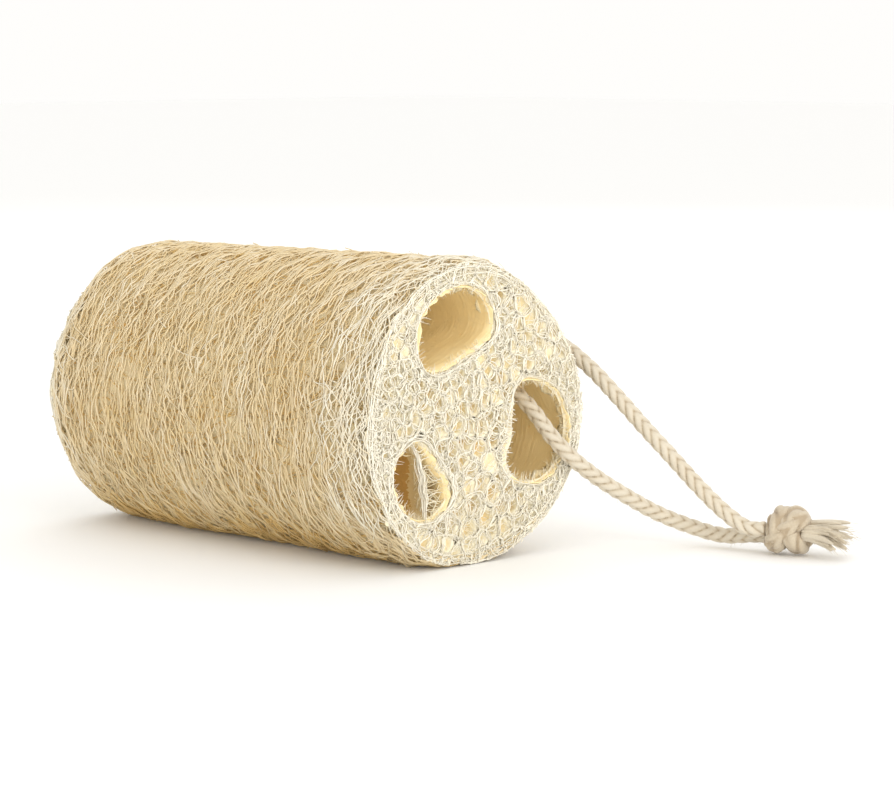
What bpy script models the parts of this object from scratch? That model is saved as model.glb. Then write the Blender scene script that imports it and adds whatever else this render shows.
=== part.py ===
"""Natural loofah sponge, a cut length of dried gourd, with a knotted cotton hanging cord.

The sponge lies on its side along X. Its front cut face is at +X, +Z is up, and the origin is
under the middle of the sponge, on the surface that it rests on. All sizes are in metres.
"""

import math
import random

import bmesh
import bpy
import numpy as np
from mathutils import Vector, noise
from mathutils.geometry import delaunay_2d_cdt

MM = 0.001

# Sponge: outer form
SPONGE_LENGTH = 158 * MM
FRONT_RADIUS = 47.6 * MM
BACK_RADIUS = 46.8 * MM
BACK_RIM_RADIUS = 13 * MM
FRONT_RIM_RADIUS = 6 * MM
RIM_SWEEP = math.radians(72)
LOBE_HEIGHT = 0.9 * MM
SHOULDER_ANGLE = math.radians(48)
SHOULDER_WIDTH = math.radians(26)
SHOULDER_DEPTH = 2.2 * MM
LUMP_HEIGHT = 1.1 * MM
LUMP_SIZE = 34 * MM
FLAT_SINK = 1.8 * MM

# Sponge: raised net of the skin, wavy rings whose crests touch their neighbours
NET_RINGS = 22
NET_CELLS_ROUND = 18
COLUMNS_PER_CELL = 4
NET_WAVE = 0.34
NET_HEIGHT = 1.1 * MM
NET_DRIFT = 2.2 * MM
NET_DRIFT_SIZE = 24 * MM

# Sponge: cut faces, a coarse web of round cells round the seed channels
FACE_DOME = 1.5 * MM
FACE_CELL = 6.6 * MM
FACE_PIT_DEPTH = 2.4 * MM
FACE_WEB_HEIGHT = 0.5 * MM
FACE_JITTER = 0.22
FACE_EDGE_GAP = 1.9 * MM
FACE_SEED = 11

# Seed channels: (direction round the axis in degrees, distance of the middle from the axis,
# half width round the axis, half depth along the radius)
CHANNELS = (
    (110, 32.0 * MM, 17.5 * MM, 11.5 * MM),
    (217, 32.5 * MM, 13.5 * MM, 10.0 * MM),
    (344, 28.5 * MM, 17.0 * MM, 15.5 * MM),
)
CHANNEL_SQUARENESS = 2.5
CHANNEL_BEND = 44 * MM
CHANNEL_SIDES = 20
CHANNEL_STEPS = 10
CHANNEL_WAVER = 0.7 * MM

# Cotton cord, a loop threaded through the wall of the third channel
CORD_DIAMETER = 5.0 * MM
CORD_POINT_STEP = 5.5 * MM
CORD_SIDES_RESOLUTION = 2
ROUTE_STEPS = 20
HOLE_CLEARANCE = 0.45 * MM
SEAT_GAP = 0.3 * MM

# The route of the loop between its two straight leads at the knot: over the outside of the
# wall, through the wall, and back out of the channel's mouth
CORD_ROUTE_MM = (
    (118.8, 69.3, 12.6),
    (111.2, 66.4, 19.6),
    (101.6, 62.8, 29.6),
    (92.6, 59.8, 38.6),
    (83.4, 57.2, 47.8),
    (73.6, 54.9, 56.4),
    (63.2, 52.2, 63.0),
    (54.4, 47.6, 62.8),
    (50.0, 40.6, 59.6),
    (51.8, 33.2, 55.8),
    (58.4, 28.8, 52.8),
    (66.2, 27.6, 50.4),
    (73.4, 28.8, 45.0),
    (79.0, 31.6, 37.0),
    (83.4, 36.8, 29.6),
    (87.2, 44.6, 22.8),
    (91.0, 54.0, 16.4),
    (96.0, 63.4, 10.4),
    (103.6, 70.8, 6.2),
    (113.4, 75.0, 4.0),
)

# Where the loop's two strands meet the knot: left of and above its axis
CORD_SEATS = ((-3.0 * MM, 0.2 * MM), (3.0 * MM, -2.9 * MM))
CORD_LEAD = 6.0 * MM

# Knot and frayed ends
KNOT_CENTRE = (136.0 * MM, 79.6 * MM, 7.9 * MM)
KNOT_HEADING = math.radians(22)
KNOT_RADIUS = 8.2 * MM
KNOT_HALF_LENGTH = 6.2 * MM
KNOT_WRAP_HEIGHT = 0.9 * MM
KNOT_WRAPS = 3
KNOT_SIDES = 20
KNOT_STEPS = 12
KNOT_LIFT = 0.1 * MM
TAIL_LENGTH = 14 * MM
TAIL_ROOT_RADIUS = 2.5 * MM
TAIL_TIP_RADIUS = 4.3 * MM
TAIL_OFFSET = 3.1 * MM
TAIL_SPLAY = math.radians(14)
TAIL_DROOP = math.radians(9)
TAIL_SIDES = 16
TAIL_STEPS = 5
TAIL_TUFT_DEPTH = 1.6 * MM
TAIL_TUFTS = 8

# Colours are linear RGB
FIBRE_COLOUR = (0.80, 0.66, 0.40, 1.0)
COTTON_COLOUR = (0.72, 0.66, 0.55, 1.0)


def clear_scene():
    for obj in list(bpy.data.objects):
        bpy.data.objects.remove(obj)


def make_material(name, colour, roughness):
    material = bpy.data.materials.new(name)
    material.use_nodes = True
    shader = material.node_tree.nodes["Principled BSDF"]
    shader.inputs["Base Color"].default_value = colour
    shader.inputs["Roughness"].default_value = roughness
    shader.inputs["Metallic"].default_value = 0.0
    material.diffuse_color = colour
    return material


def link_mesh(name, mesh, material, smooth_angle):
    mesh.shade_smooth()
    mesh.set_sharp_from_angle(angle=smooth_angle)
    mesh.materials.append(material)
    obj = bpy.data.objects.new(name, mesh)
    bpy.context.scene.collection.objects.link(obj)
    return obj


def bridge_rings(bm, lower, upper):
    """Quads between two closed rings, which face out where the rings turn about +X."""
    count = len(lower)
    for j in range(count):
        k = (j + 1) % count
        bm.faces.new((lower[j], lower[k], upper[k], upper[j]))


# Outer wall of the sponge


def smooth_noise(point, size, offset):
    """Soft noise from about -1 to 1 that changes over a distance of about size."""
    return noise.noise(Vector(point) / size + Vector((offset, 2 * offset, -offset)))


def side_radius(x):
    share = (x + SPONGE_LENGTH / 2) / SPONGE_LENGTH
    return BACK_RADIUS + (FRONT_RADIUS - BACK_RADIUS) * share


def section_radius(x, angle):
    """Outer radius of the section at x: nearly round, with a lobe over each channel and one flat shoulder."""
    radius = side_radius(x)
    radius += LOBE_HEIGHT * math.cos(3 * (angle - math.radians(CHANNELS[0][0])))
    away = math.remainder(angle - SHOULDER_ANGLE, 2 * math.pi)
    radius -= SHOULDER_DEPTH * math.exp(-((away / SHOULDER_WIDTH) ** 2))
    on_wall = (x, radius * math.cos(angle), radius * math.sin(angle))
    return radius + LUMP_HEIGHT * smooth_noise(on_wall, LUMP_SIZE, 3.7)


def axis_height(x):
    """Height of the axis at x, so that the sponge rests along its underside."""
    return section_radius(x, -math.pi / 2) - FLAT_SINK


def wall_length():
    straight = SPONGE_LENGTH - BACK_RIM_RADIUS - FRONT_RIM_RADIUS
    return straight + RIM_SWEEP * (BACK_RIM_RADIUS + FRONT_RIM_RADIUS)


def wall_profile(s):
    """The wall's profile, s along it from the back face.

    Gives x, how far it lies inside the side radius, and its normal's parts along X and outwards.
    """
    half = SPONGE_LENGTH / 2
    back_arc = RIM_SWEEP * BACK_RIM_RADIUS
    front_start = wall_length() - RIM_SWEEP * FRONT_RIM_RADIUS
    if s < back_arc:
        turn = (back_arc - s) / BACK_RIM_RADIUS
        x = -half + BACK_RIM_RADIUS * (1 - math.sin(turn))
        return x, BACK_RIM_RADIUS * (1 - math.cos(turn)), -math.sin(turn), math.cos(turn)
    if s > front_start:
        turn = (s - front_start) / FRONT_RIM_RADIUS
        x = half - FRONT_RIM_RADIUS * (1 - math.sin(turn))
        return x, FRONT_RIM_RADIUS * (1 - math.cos(turn)), math.sin(turn), math.cos(turn)
    return -half + BACK_RIM_RADIUS + (s - back_arc), 0.0, 0.0, 1.0


def wall_point(s, angle, lift):
    """A point of the outer wall, raised by lift along its normal and never under the sponge's base."""
    x, inset, slope_x, slope_out = wall_profile(s)
    out = section_radius(x, angle) - inset + lift * slope_out
    height = axis_height(x) + out * math.sin(angle)
    return Vector((x + lift * slope_x, out * math.cos(angle), max(height, 0.0)))


def net_point(row, column, columns, rows):
    """A point of the raised net.

    Odd rows run along a ring's crest. Even rows lie in the cells between two rings, and rise where
    the rings touch.
    """
    angle = 2 * math.pi * column / columns
    pitch = wall_length() / NET_RINGS
    wave = math.cos(NET_CELLS_ROUND * angle + math.pi * (row // 2))
    if row % 2:
        s = row / 2 * pitch + NET_WAVE * pitch * wave
        lift = NET_HEIGHT
    else:
        s = row / 2 * pitch
        touch = ((1 - wave) / 2) ** 2
        lift = NET_HEIGHT * (2 * touch - 1)
    inner = 0 < row < rows - 1
    if inner:
        ring_place = (s, FRONT_RADIUS * math.cos(angle), FRONT_RADIUS * math.sin(angle))
        fade = min(1.0, 2 * min(row, rows - 1 - row) / NET_CELLS_ROUND)
        s += fade * NET_DRIFT * smooth_noise(ring_place, NET_DRIFT_SIZE, 1.3)
        angle += fade * NET_DRIFT / FRONT_RADIUS * smooth_noise(ring_place, NET_DRIFT_SIZE, 8.1)
    else:
        lift = 0.0
    return wall_point(s, angle, lift)


# Seed channels


def rim_pinch(x):
    """How much smaller the section is at x than the side is, because of the rounded rims."""
    rim = FRONT_RIM_RADIUS if x > 0 else BACK_RIM_RADIUS
    past = min(max(0.0, abs(x) - (SPONGE_LENGTH / 2 - rim)), rim * math.sin(RIM_SWEEP))
    return (rim - math.sqrt(rim**2 - past**2)) / side_radius(x)


def channel_outline(channel, x):
    """A channel's closed outline at x, as (y, height) points that turn the same way as the wall's."""
    direction, distance, half_width, half_depth = channel
    heading = math.radians(direction)
    pinch = 1 - rim_pinch(x)
    points = []
    for i in range(CHANNEL_SIDES):
        turn = 2 * math.pi * i / CHANNEL_SIDES
        power = 2 / CHANNEL_SQUARENESS
        out = half_depth * math.copysign(abs(math.cos(turn)) ** power, math.cos(turn))
        across = half_width * math.copysign(abs(math.sin(turn)) ** power, math.sin(turn))
        out += distance - across**2 / (2 * CHANNEL_BEND)
        wave = CHANNEL_WAVER * smooth_noise((x, out, across), 0.5 * LUMP_SIZE, direction)
        out = pinch * (out + wave * math.cos(turn))
        across = pinch * (across + wave * math.sin(turn))
        y = out * math.cos(heading) - across * math.sin(heading)
        height = axis_height(x) + out * math.sin(heading) + across * math.cos(heading)
        points.append((y, height))
    return points


# Cut faces


def polygon_holds(polygon, point):
    """Whether the point is inside the closed outline."""
    inside = False
    for (ay, az), (by, bz) in zip(polygon, polygon[1:] + polygon[:1]):
        if (az > point[1]) != (bz > point[1]):
            crossing = ay + (point[1] - az) / (bz - az) * (by - ay)
            inside ^= point[0] < crossing
    return inside


def clear_of(polygon, point, gap):
    """Whether the point is at least gap from every side of the outline."""
    p = np.array(point)
    a = np.array(polygon)
    b = np.roll(a, -1, axis=0)
    along = b - a
    share = np.clip(((p - a) * along).sum(1) / (along * along).sum(1), 0, 1)
    return np.linalg.norm(a + share[:, None] * along - p, axis=1).min() > gap


def web_points(outline, holes, draw):
    """A hexagonal web over the cut face: (y, height, True at a cell's middle, False at a node)."""
    found = []
    reach = int(2 * FRONT_RADIUS / FACE_CELL) + 2
    row_step = FACE_CELL * math.sqrt(3) / 2
    middle = axis_height(0)
    for row in range(-reach, reach):
        for column in range(-reach, reach):
            y = (column + 0.5 * (row % 2)) * FACE_CELL
            height = middle + row * row_step
            node_rise = FACE_CELL / math.sqrt(3)
            places = ((0.0, 0.0, True), (0.0, node_rise, False), (0.0, -node_rise, False))
            for dy, dz, pit in places:
                wobble = FACE_JITTER * FACE_CELL / 2
                aside, above = draw.uniform(-wobble, wobble), draw.uniform(-wobble, wobble)
                point = (y + dy + aside, height + dz + above)
                if not polygon_holds(outline, point) or not clear_of(outline, point, FACE_EDGE_GAP):
                    continue
                if all(not polygon_holds(h, point) and clear_of(h, point, FACE_EDGE_GAP) for h in holes):
                    found.append((*point, pit))
    return found


def fill_face(bm, wall_ring, channel_rings, side):
    """Closes one end with a web of cells between the wall's last ring and the channels' mouths.

    side is 1 at the front and -1 at the back.
    """
    draw = random.Random(FACE_SEED + side)
    outline = [(v.co.y, v.co.z) for v in wall_ring]
    holes = [[(v.co.y, v.co.z) for v in ring] for ring in channel_rings]
    web = web_points(outline, holes, draw)
    middle = axis_height(side * SPONGE_LENGTH / 2)
    verts = list(wall_ring) + [v for ring in channel_rings for v in ring]
    for y, height, pit in web:
        away = min(1.0, math.hypot(y, height - middle) / FRONT_RADIUS)
        out = FACE_DOME * (1 - away**2) + (-FACE_PIT_DEPTH if pit else FACE_WEB_HEIGHT)
        verts.append(bm.verts.new((side * (SPONGE_LENGTH / 2 + out), y, height)))
    places = [Vector((v.co.y, v.co.z)) for v in verts]
    edges = []
    start = 0
    for count in (len(wall_ring), *(len(ring) for ring in channel_rings)):
        edges += [(start + i, start + (i + 1) % count) for i in range(count)]
        start += count
    made = delaunay_2d_cdt(places, edges, [], 0, 1e-9, True)
    coords, triangles, sources = made[0], made[2], made[3]
    for triangle in triangles:
        centre = sum((coords[i] for i in triangle), Vector((0, 0))) / 3
        if not polygon_holds(outline, centre) or any(polygon_holds(h, centre) for h in holes):
            continue
        corners = [verts[sources[i][0]] for i in triangle]
        bm.faces.new(corners if side > 0 else corners[::-1])


def sponge_mesh():
    bm = bmesh.new()
    columns = NET_CELLS_ROUND * COLUMNS_PER_CELL
    rows = 2 * NET_RINGS + 1
    rings = [
        [bm.verts.new(net_point(row, column, columns, rows)) for column in range(columns)]
        for row in range(rows)
    ]
    for lower, upper in zip(rings, rings[1:]):
        bridge_rings(bm, lower, upper)
    mouths = {1: [], -1: []}
    for channel in CHANNELS:
        places = -SPONGE_LENGTH / 2 * np.cos(np.linspace(0, math.pi, CHANNEL_STEPS + 1))
        tube = [[bm.verts.new((x, y, z)) for y, z in channel_outline(channel, x)] for x in places]
        for lower, upper in zip(tube, tube[1:]):
            bridge_rings(bm, upper, lower)
        mouths[-1].append(tube[0])
        mouths[1].append(tube[-1])
    fill_face(bm, rings[-1], mouths[1], 1)
    fill_face(bm, rings[0], mouths[-1], -1)
    bmesh.ops.triangulate(bm, faces=bm.faces)
    mesh = bpy.data.meshes.new("loofah_sponge")
    bm.to_mesh(mesh)
    bm.free()
    centre_on_origin(mesh)
    return mesh


def centre_on_origin(mesh):
    """Slides the sponge so that its box is centred over the origin along X and Y."""
    places = np.array([v.co for v in mesh.vertices])
    middle = (places.min(0) + places.max(0)) / 2
    for vertex in mesh.vertices:
        vertex.co.x -= middle[0]
        vertex.co.y -= middle[1]


# Cord


def smooth_route(points, step):
    """Even points about step apart on a smooth curve through the given ones."""
    given = [Vector(p) for p in points]
    given = [2 * given[0] - given[1], *given, 2 * given[-1] - given[-2]]
    fine = []
    for before, start, end, after in zip(given, given[1:], given[2:], given[3:]):
        for i in range(ROUTE_STEPS):
            t = i / ROUTE_STEPS
            line = 2 * start + (end - before) * t
            square = (2 * before - 5 * start + 4 * end - after) * t**2
            cubic = (3 * start - before - 3 * end + after) * t**3
            fine.append((line + square + cubic) / 2)
    fine.append(given[-2])
    spans = [(b - a).length for a, b in zip(fine, fine[1:])]
    along = np.concatenate([[0], np.cumsum(spans)])
    even = np.linspace(0, along[-1], round(along[-1] / step) + 1)
    return np.stack([np.interp(even, along, [p[k] for p in fine]) for k in range(3)], axis=1)


def tube_curve(name, places, radius):
    curve = bpy.data.curves.new(name, "CURVE")
    curve.dimensions = "3D"
    curve.bevel_depth = radius
    curve.bevel_resolution = CORD_SIDES_RESOLUTION
    curve.use_fill_caps = True
    spline = curve.splines.new("POLY")
    spline.points.add(len(places) - 1)
    for point, place in zip(spline.points, places):
        point.co = (*place, 1)
    return curve


def cord_lead(seat):
    """The straight last stretch of a strand, from its seat at the knot outwards."""
    along, left, up = knot_frame()
    start = Vector(KNOT_CENTRE) - along * (KNOT_HALF_LENGTH + SEAT_GAP) + left * seat[0] + up * seat[1]
    return start, start - along * CORD_LEAD


def build_cord(material):
    middle = [Vector(p) * MM for p in CORD_ROUTE_MM]
    route = [*cord_lead(CORD_SEATS[0]), *middle, *reversed(cord_lead(CORD_SEATS[1]))]
    places = smooth_route(route, CORD_POINT_STEP)
    curve = tube_curve("cord_loop", places, CORD_DIAMETER / 2)
    curve.materials.append(material)
    cord = bpy.data.objects.new("cord_loop", curve)
    bpy.context.scene.collection.objects.link(cord)
    hole = tube_curve("cord_hole", places, CORD_DIAMETER / 2 + HOLE_CLEARANCE)
    cutter = bpy.data.objects.new("cord_hole", hole)
    bpy.context.scene.collection.objects.link(cutter)
    return cord, cutter


def mesh_copy(obj, name):
    """A mesh object of what the given object's modifiers and bevel make, as a hidden cutter."""
    seen = obj.evaluated_get(bpy.context.evaluated_depsgraph_get())
    copy = bpy.data.objects.new(name, bpy.data.meshes.new_from_object(seen))
    bpy.context.scene.collection.objects.link(copy)
    bpy.data.objects.remove(obj)
    copy.hide_render = True
    copy.display_type = "WIRE"
    return copy


def thread_hole(sponge, cutter):
    cut = sponge.modifiers.new("cord_hole", "BOOLEAN")
    cut.operation = "DIFFERENCE"
    cut.solver = "EXACT"
    cut.object = mesh_copy(cutter, "cord_hole_cutter")


# Knot and frayed ends, each turned about its own X axis and then placed


def knot_frame():
    """The knot's own axes: along the cord towards its ends, to the left, and up."""
    along = Vector((math.cos(KNOT_HEADING), math.sin(KNOT_HEADING), 0))
    return along, Vector((-along.y, along.x, 0)), Vector((0, 0, 1))


def turned_mesh(name, steps, sides, radius_at, place):
    """A closed turned solid.

    radius_at(share, angle) gives its radius, and place(share, out_left, out_up) a point of it.
    """
    bm = bmesh.new()
    rings = []
    for i in range(steps + 1):
        ring = []
        for j in range(sides):
            angle = 2 * math.pi * j / sides
            radius = radius_at(i / steps, angle)
            point = place(i / steps, radius * math.cos(angle), radius * math.sin(angle))
            ring.append(bm.verts.new(point))
        rings.append(ring)
    for lower, upper in zip(rings, rings[1:]):
        bridge_rings(bm, lower, upper)
    root = bm.verts.new(place(0, 0, 0))
    tip = bm.verts.new(place(1, 0, 0))
    for j in range(sides):
        k = (j + 1) % sides
        bm.faces.new((root, rings[0][k], rings[0][j]))
        bm.faces.new((tip, rings[-1][j], rings[-1][k]))
    bmesh.ops.triangulate(bm, faces=bm.faces)
    mesh = bpy.data.meshes.new(name)
    bm.to_mesh(mesh)
    bm.free()
    return mesh


def build_knot(material):
    along, left, up = knot_frame()
    centre = Vector(KNOT_CENTRE)

    def radius_at(share, angle):
        x = (2 * share - 1) * KNOT_HALF_LENGTH
        bare = math.sqrt(KNOT_RADIUS**2 - x**2)
        slant = math.sin(KNOT_WRAPS * math.pi * share + angle)
        return bare - KNOT_WRAP_HEIGHT * (1 - abs(slant))

    def place(share, out_left, out_up):
        x = (2 * share - 1) * KNOT_HALF_LENGTH
        spot = centre + along * x + left * out_left + up * out_up
        spot.z = max(spot.z, KNOT_LIFT)
        return spot

    mesh = turned_mesh("cord_knot", KNOT_STEPS, KNOT_SIDES, radius_at, place)
    return link_mesh("cord_knot", mesh, material, math.radians(50))


def build_tail(name, side, material):
    """One frayed end: a short brush that widens towards a tufted tip. side is 1 left and -1 right."""
    along, left, up = knot_frame()
    start = Vector(KNOT_CENTRE) + along * (KNOT_HALF_LENGTH + SEAT_GAP) + left * side * TAIL_OFFSET
    heading = along * math.cos(TAIL_SPLAY) + left * side * math.sin(TAIL_SPLAY)

    def radius_at(share, angle):
        return TAIL_ROOT_RADIUS + (TAIL_TIP_RADIUS - TAIL_ROOT_RADIUS) * share**1.4

    def place(share, out_left, out_up):
        tuft = 0.0
        if share == 1 and (out_left or out_up):
            tuft = TAIL_TUFT_DEPTH * math.cos(TAIL_TUFTS * math.atan2(out_up, out_left))
        bend = share**1.5
        run = share * TAIL_LENGTH + tuft
        line = along * (1 - bend) + heading * bend
        spot = start + line * run - up * run * math.tan(TAIL_DROOP) * bend
        spot += left * out_left + up * out_up
        spot.z = max(spot.z, KNOT_LIFT)
        return spot

    mesh = turned_mesh(name, TAIL_STEPS, TAIL_SIDES, radius_at, place)
    return link_mesh(name, mesh, material, math.radians(50))


def main():
    clear_scene()
    fibre = make_material("loofah_fibre", FIBRE_COLOUR, 0.85)
    cotton = make_material("cotton_cord", COTTON_COLOUR, 0.9)
    sponge = link_mesh("loofah_sponge", sponge_mesh(), fibre, math.radians(40))
    _, cutter = build_cord(cotton)
    thread_hole(sponge, cutter)
    build_knot(cotton)
    build_tail("cord_end_left", 1, cotton)
    build_tail("cord_end_right", -1, cotton)


main()
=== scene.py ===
import math

import bpy
import numpy as np
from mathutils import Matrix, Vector
from mathutils.bvhtree import BVHTree
from mathutils.geometry import delaunay_2d_cdt


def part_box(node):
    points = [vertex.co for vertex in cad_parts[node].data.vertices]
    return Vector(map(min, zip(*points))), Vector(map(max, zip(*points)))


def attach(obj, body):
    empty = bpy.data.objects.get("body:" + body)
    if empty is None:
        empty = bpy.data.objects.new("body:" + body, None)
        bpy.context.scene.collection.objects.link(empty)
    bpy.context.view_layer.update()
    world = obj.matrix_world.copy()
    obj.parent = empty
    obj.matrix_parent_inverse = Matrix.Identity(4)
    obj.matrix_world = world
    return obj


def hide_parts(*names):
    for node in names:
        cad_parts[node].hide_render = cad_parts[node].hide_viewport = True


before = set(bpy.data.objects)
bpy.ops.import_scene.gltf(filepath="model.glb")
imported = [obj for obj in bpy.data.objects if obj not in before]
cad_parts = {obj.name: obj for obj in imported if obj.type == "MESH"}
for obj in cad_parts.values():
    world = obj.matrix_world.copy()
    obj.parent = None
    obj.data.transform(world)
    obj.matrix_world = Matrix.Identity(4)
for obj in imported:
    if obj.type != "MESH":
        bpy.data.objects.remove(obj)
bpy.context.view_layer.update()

# Looks of a natural loofah sponge: a net of plant fibres over a golden body, with a braided cotton
# cord. The sponge lies along X, its cut face with the cord is at +X, and all sizes are in metres.

MM = 0.001
SPONGE_LOW, SPONGE_HIGH = (np.array(corner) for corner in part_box("loofah_sponge"))
AXIS_HEIGHT = float(SPONGE_LOW[2] + SPONGE_HIGH[2]) / 2

# Outer wall, as the frame gives it
WALL_END_GAP = 2.9 * MM
WALL_LAPS = 3
WALL_LAP = 0.9 * MM
WALL_STATIONS = 170
WALL_ANGLES = 180
LOWEST_NET = 0.25 * MM
SPONGE_RADIUS = 47 * MM
RAY_START = 80 * MM
FIELD_START = 60 * MM
FIELD_REACH = 360 * MM

# Net of the skin: the layer that shows and the wider one under it. A field gives the spacing of its
# random values along the wall, and their number round it.
NET = {"pitch": 1.2 * MM, "waves": 31, "step": 1.45 * MM, "lift": 0.15 * MM, "radius": 0.23 * MM}
UNDER_NET = {"pitch": 2.4 * MM, "waves": 26, "step": 1.9 * MM, "lift": -0.75 * MM, "radius": 0.27 * MM}
NET_FIELDS = ((17 * MM, 11), (23 * MM, 9), (2.1 * MM, 70), (3.0 * MM, 48), (5.0 * MM, 36))
LONG_FIBRES = 105
LONG_RADIUS = 0.26 * MM
LOOSE_FIBRES = 1600
LOOSE_STEP = 1.7 * MM
LOOSE_SPREAD = 24
RIM_FIBRES = 320
RIM_SPREAD = 75
RIM_REACH = (1 * MM, 13 * MM)
CURVE_HEIGHT = 17 * MM

# Body under the net
BODY_DEPTH = 2.0 * MM
BODY_LOW = 0.6 * MM
LOOSER_FROM = 52 * MM
WELD_GAP = 0.01 * MM
FACE_DEPTH = 5.6 * MM
FACE_EASE = 9 * MM

# Cut faces: rings of a cell give how far down it lies, as a share of the cell's depth, and its width
FACE_DOME = 1.5 * MM
FACE_RECESS = 0.7 * MM
# How far in a face fibre or cell skin lies for one step of painted shade in its colour.
SINK_SCALE = 6.5 * MM
CELL_FIELD = 51 * MM
CELL_SIZE = 4.6 * MM
CELL_TRIES = 9000
CELL_TURNS = 14
CELL_RINGS = ((0.0, 1.0), (0.04, 0.78), (0.3, 0.64), (0.8, 0.54), (1.0, 0.22))
LOOP_SINKS = (0.1 * MM, 0.9 * MM, 2.0 * MM, 3.6 * MM)
WEB_RADIUS = 0.17 * MM
WEB_FIBRES = 5
FACE_HAIRS = 1000
HAIR_STEP = 0.85 * MM
MOUTH_TEETH = 230
TOOTH_ROOT = 1.2 * MM
COLLAR_RINGS = 6
PARTITION_EDGE_FIBRES = 44
PARTITION_SIDE_FIBRES = 95
FLAP_REACH = 9
FLAP_FIBRES = 120

# Seed channels: middle of each as (y, z) at the cut face. They draw in towards the axis at the back.
CHANNEL_MIDDLES = ((-10.9 * MM, 76.5 * MM), (-25.9 * MM, 27.0 * MM), (27.4 * MM, 38.8 * MM))
CHANNEL_ANGLES = 72
CHANNEL_STATIONS = 44
LINING_THICK = 0.35 * MM
CHANNEL_WIDEST = 26 * MM
CHANNEL_USUAL = 12 * MM
BACK_START = -55 * MM
BACK_LENGTH = 24 * MM
BACK_DRAW_IN = 0.12
MOUTH_DEPTH = 4 * MM

# Cord, in millimetres as in the part's source
CORD_DIAMETER = 5.0 * MM
CORD_ROUTE_MM = (
    (118.8, 69.3, 12.6), (111.2, 66.4, 19.6), (101.6, 62.8, 29.6), (92.6, 59.8, 38.6),
    (83.4, 57.2, 47.8), (73.6, 54.9, 56.4), (63.2, 52.2, 63.0), (54.4, 47.6, 62.8),
    (50.0, 40.6, 59.6), (51.8, 33.2, 55.8), (58.4, 28.8, 52.8), (66.2, 27.6, 50.4),
    (73.4, 28.8, 45.0), (79.0, 31.6, 37.0), (83.4, 36.8, 29.6), (87.2, 44.6, 22.8),
    (91.0, 54.0, 16.4), (96.0, 63.4, 10.4), (103.6, 70.8, 6.2), (113.4, 75.0, 4.0),
)
CORD_SEATS_MM = ((-3.0, 0.2), (3.0, -2.9))
CORD_LEAD_MM = 6.0
CORD_STEP = 0.45 * MM
CORD_START_X = 30 * MM
CORD_SIDE_Y = (10 * MM, 70 * MM)
KNOT_CENTRE = np.array((136.0, 79.6, 7.9)) * MM
KNOT_HEADING = math.radians(22)
KNOT_HALF_LENGTH = 6.2 * MM
KNOT_SCALES = (1.42, 1.42, 1.2)
KNOT_CORE_SCALE = 1.75
# How much darker the knot and its fuzz are painted: painted shade.
KNOT_SHADE = 0.35
SEAT_GAP = 0.3 * MM
STRANDS = 8
STRAND_HALF_WIDTH = 1.85 * MM
STRAND_CENTRE = 1.5 * MM
STRAND_HEIGHT = 0.75 * MM
STRAND_WEAVE = 0.28 * MM
STRAND_TURN = 16.5 * MM
BRAID_FLOOR = 1.7 * MM
BRAID_SIDES = 36
FUZZ_LOW = 0.12 * MM
FUZZ_RADIUS = 0.035 * MM
TAIL_LENGTH = 14 * MM
TAIL_OFFSET = 3.1 * MM
TAIL_SPLAY = math.radians(14)
TAIL_DROOP = math.radians(9)
TAIL_LOW = 0.15 * MM
TAIL_YARNS = 17
TAIL_HAIRS = 110

# How far the middle line of a fibre stays from the middle line of the cord
NET_CLEARANCE = 2.95 * MM
FACE_CLEARANCE = 2.9 * MM
FLAP_CLEARANCE = 3.0 * MM

# Colours along the range of a material's level. Levels of 1 and more take the last colour. For the fibres,
# the cell skin and the cotton, the level rises with depth, so their darker, more golden colours are painted
# shade.
SKIN_STOPS = (
    (0.1, (0.91, 0.85, 0.70)), (0.42, (0.84, 0.70, 0.46)), (0.8, (0.81, 0.65, 0.38)),
    (1.0, (0.81, 0.62, 0.31)), (1.0, (0.78, 0.55, 0.23)),
)
WEB_STOPS = (
    (0.4, (0.98, 0.93, 0.80)), (0.7, (0.96, 0.86, 0.61)),
    (1.0, (0.91, 0.71, 0.38)), (1.0, (0.74, 0.46, 0.14)),
)
MEMBRANE_STOPS = (
    (0.2, (0.95, 0.89, 0.70)), (0.6, (0.92, 0.80, 0.52)),
    (1.0, (0.86, 0.65, 0.31)), (1.0, (0.68, 0.40, 0.12)),
)
TISSUE_STOPS = ((0.62, (0.78, 0.46, 0.13)), (1.0, (0.87, 0.55, 0.19)), (1.0, (0.95, 0.82, 0.53)))
LINING_STOPS = ((0.5, (0.88, 0.50, 0.16)), (0.8, (0.98, 0.71, 0.31)), (1.0, (0.99, 0.81, 0.45)))
COTTON_STOPS = ((0.2, (0.69, 0.63, 0.52)), (0.6, (0.61, 0.53, 0.40)), (1.0, (0.43, 0.34, 0.23)))
FLOOR_COLOUR = (0.985, 0.985, 0.98, 1)
SKY_COLOUR = (1.0, 0.99, 0.97, 1)

# Camera, as the photograph was taken, and light, with angles in degrees
CAMERA_AZIMUTH = 45
CAMERA_ELEVATION = 7
CAMERA_DISTANCE = 0.93
CAMERA_LENS = 117
CAMERA_SENSOR = 36
CAMERA_TARGET = (0.0405, 0.0245, 0.044)
LIGHT_TARGET = (0.03, 0.01, 0.03)
LIGHTS = (
    # name, azimuth, elevation, distance, size, power and colour
    ("key", 82, 24, 1.5, 0.8, 5.5, (1.0, 0.985, 0.96)),
    ("front", 56, 8, 1.6, 0.7, 3.5, (1.0, 0.98, 0.95)),
    ("fill", 5, 7, 1.8, 1.0, 3, (1.0, 0.98, 0.95)),
    ("back", 215, 35, 1.7, 1.3, 3.5, (1.0, 0.98, 0.95)),
)
FLOOR_HALF = 6.0

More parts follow.
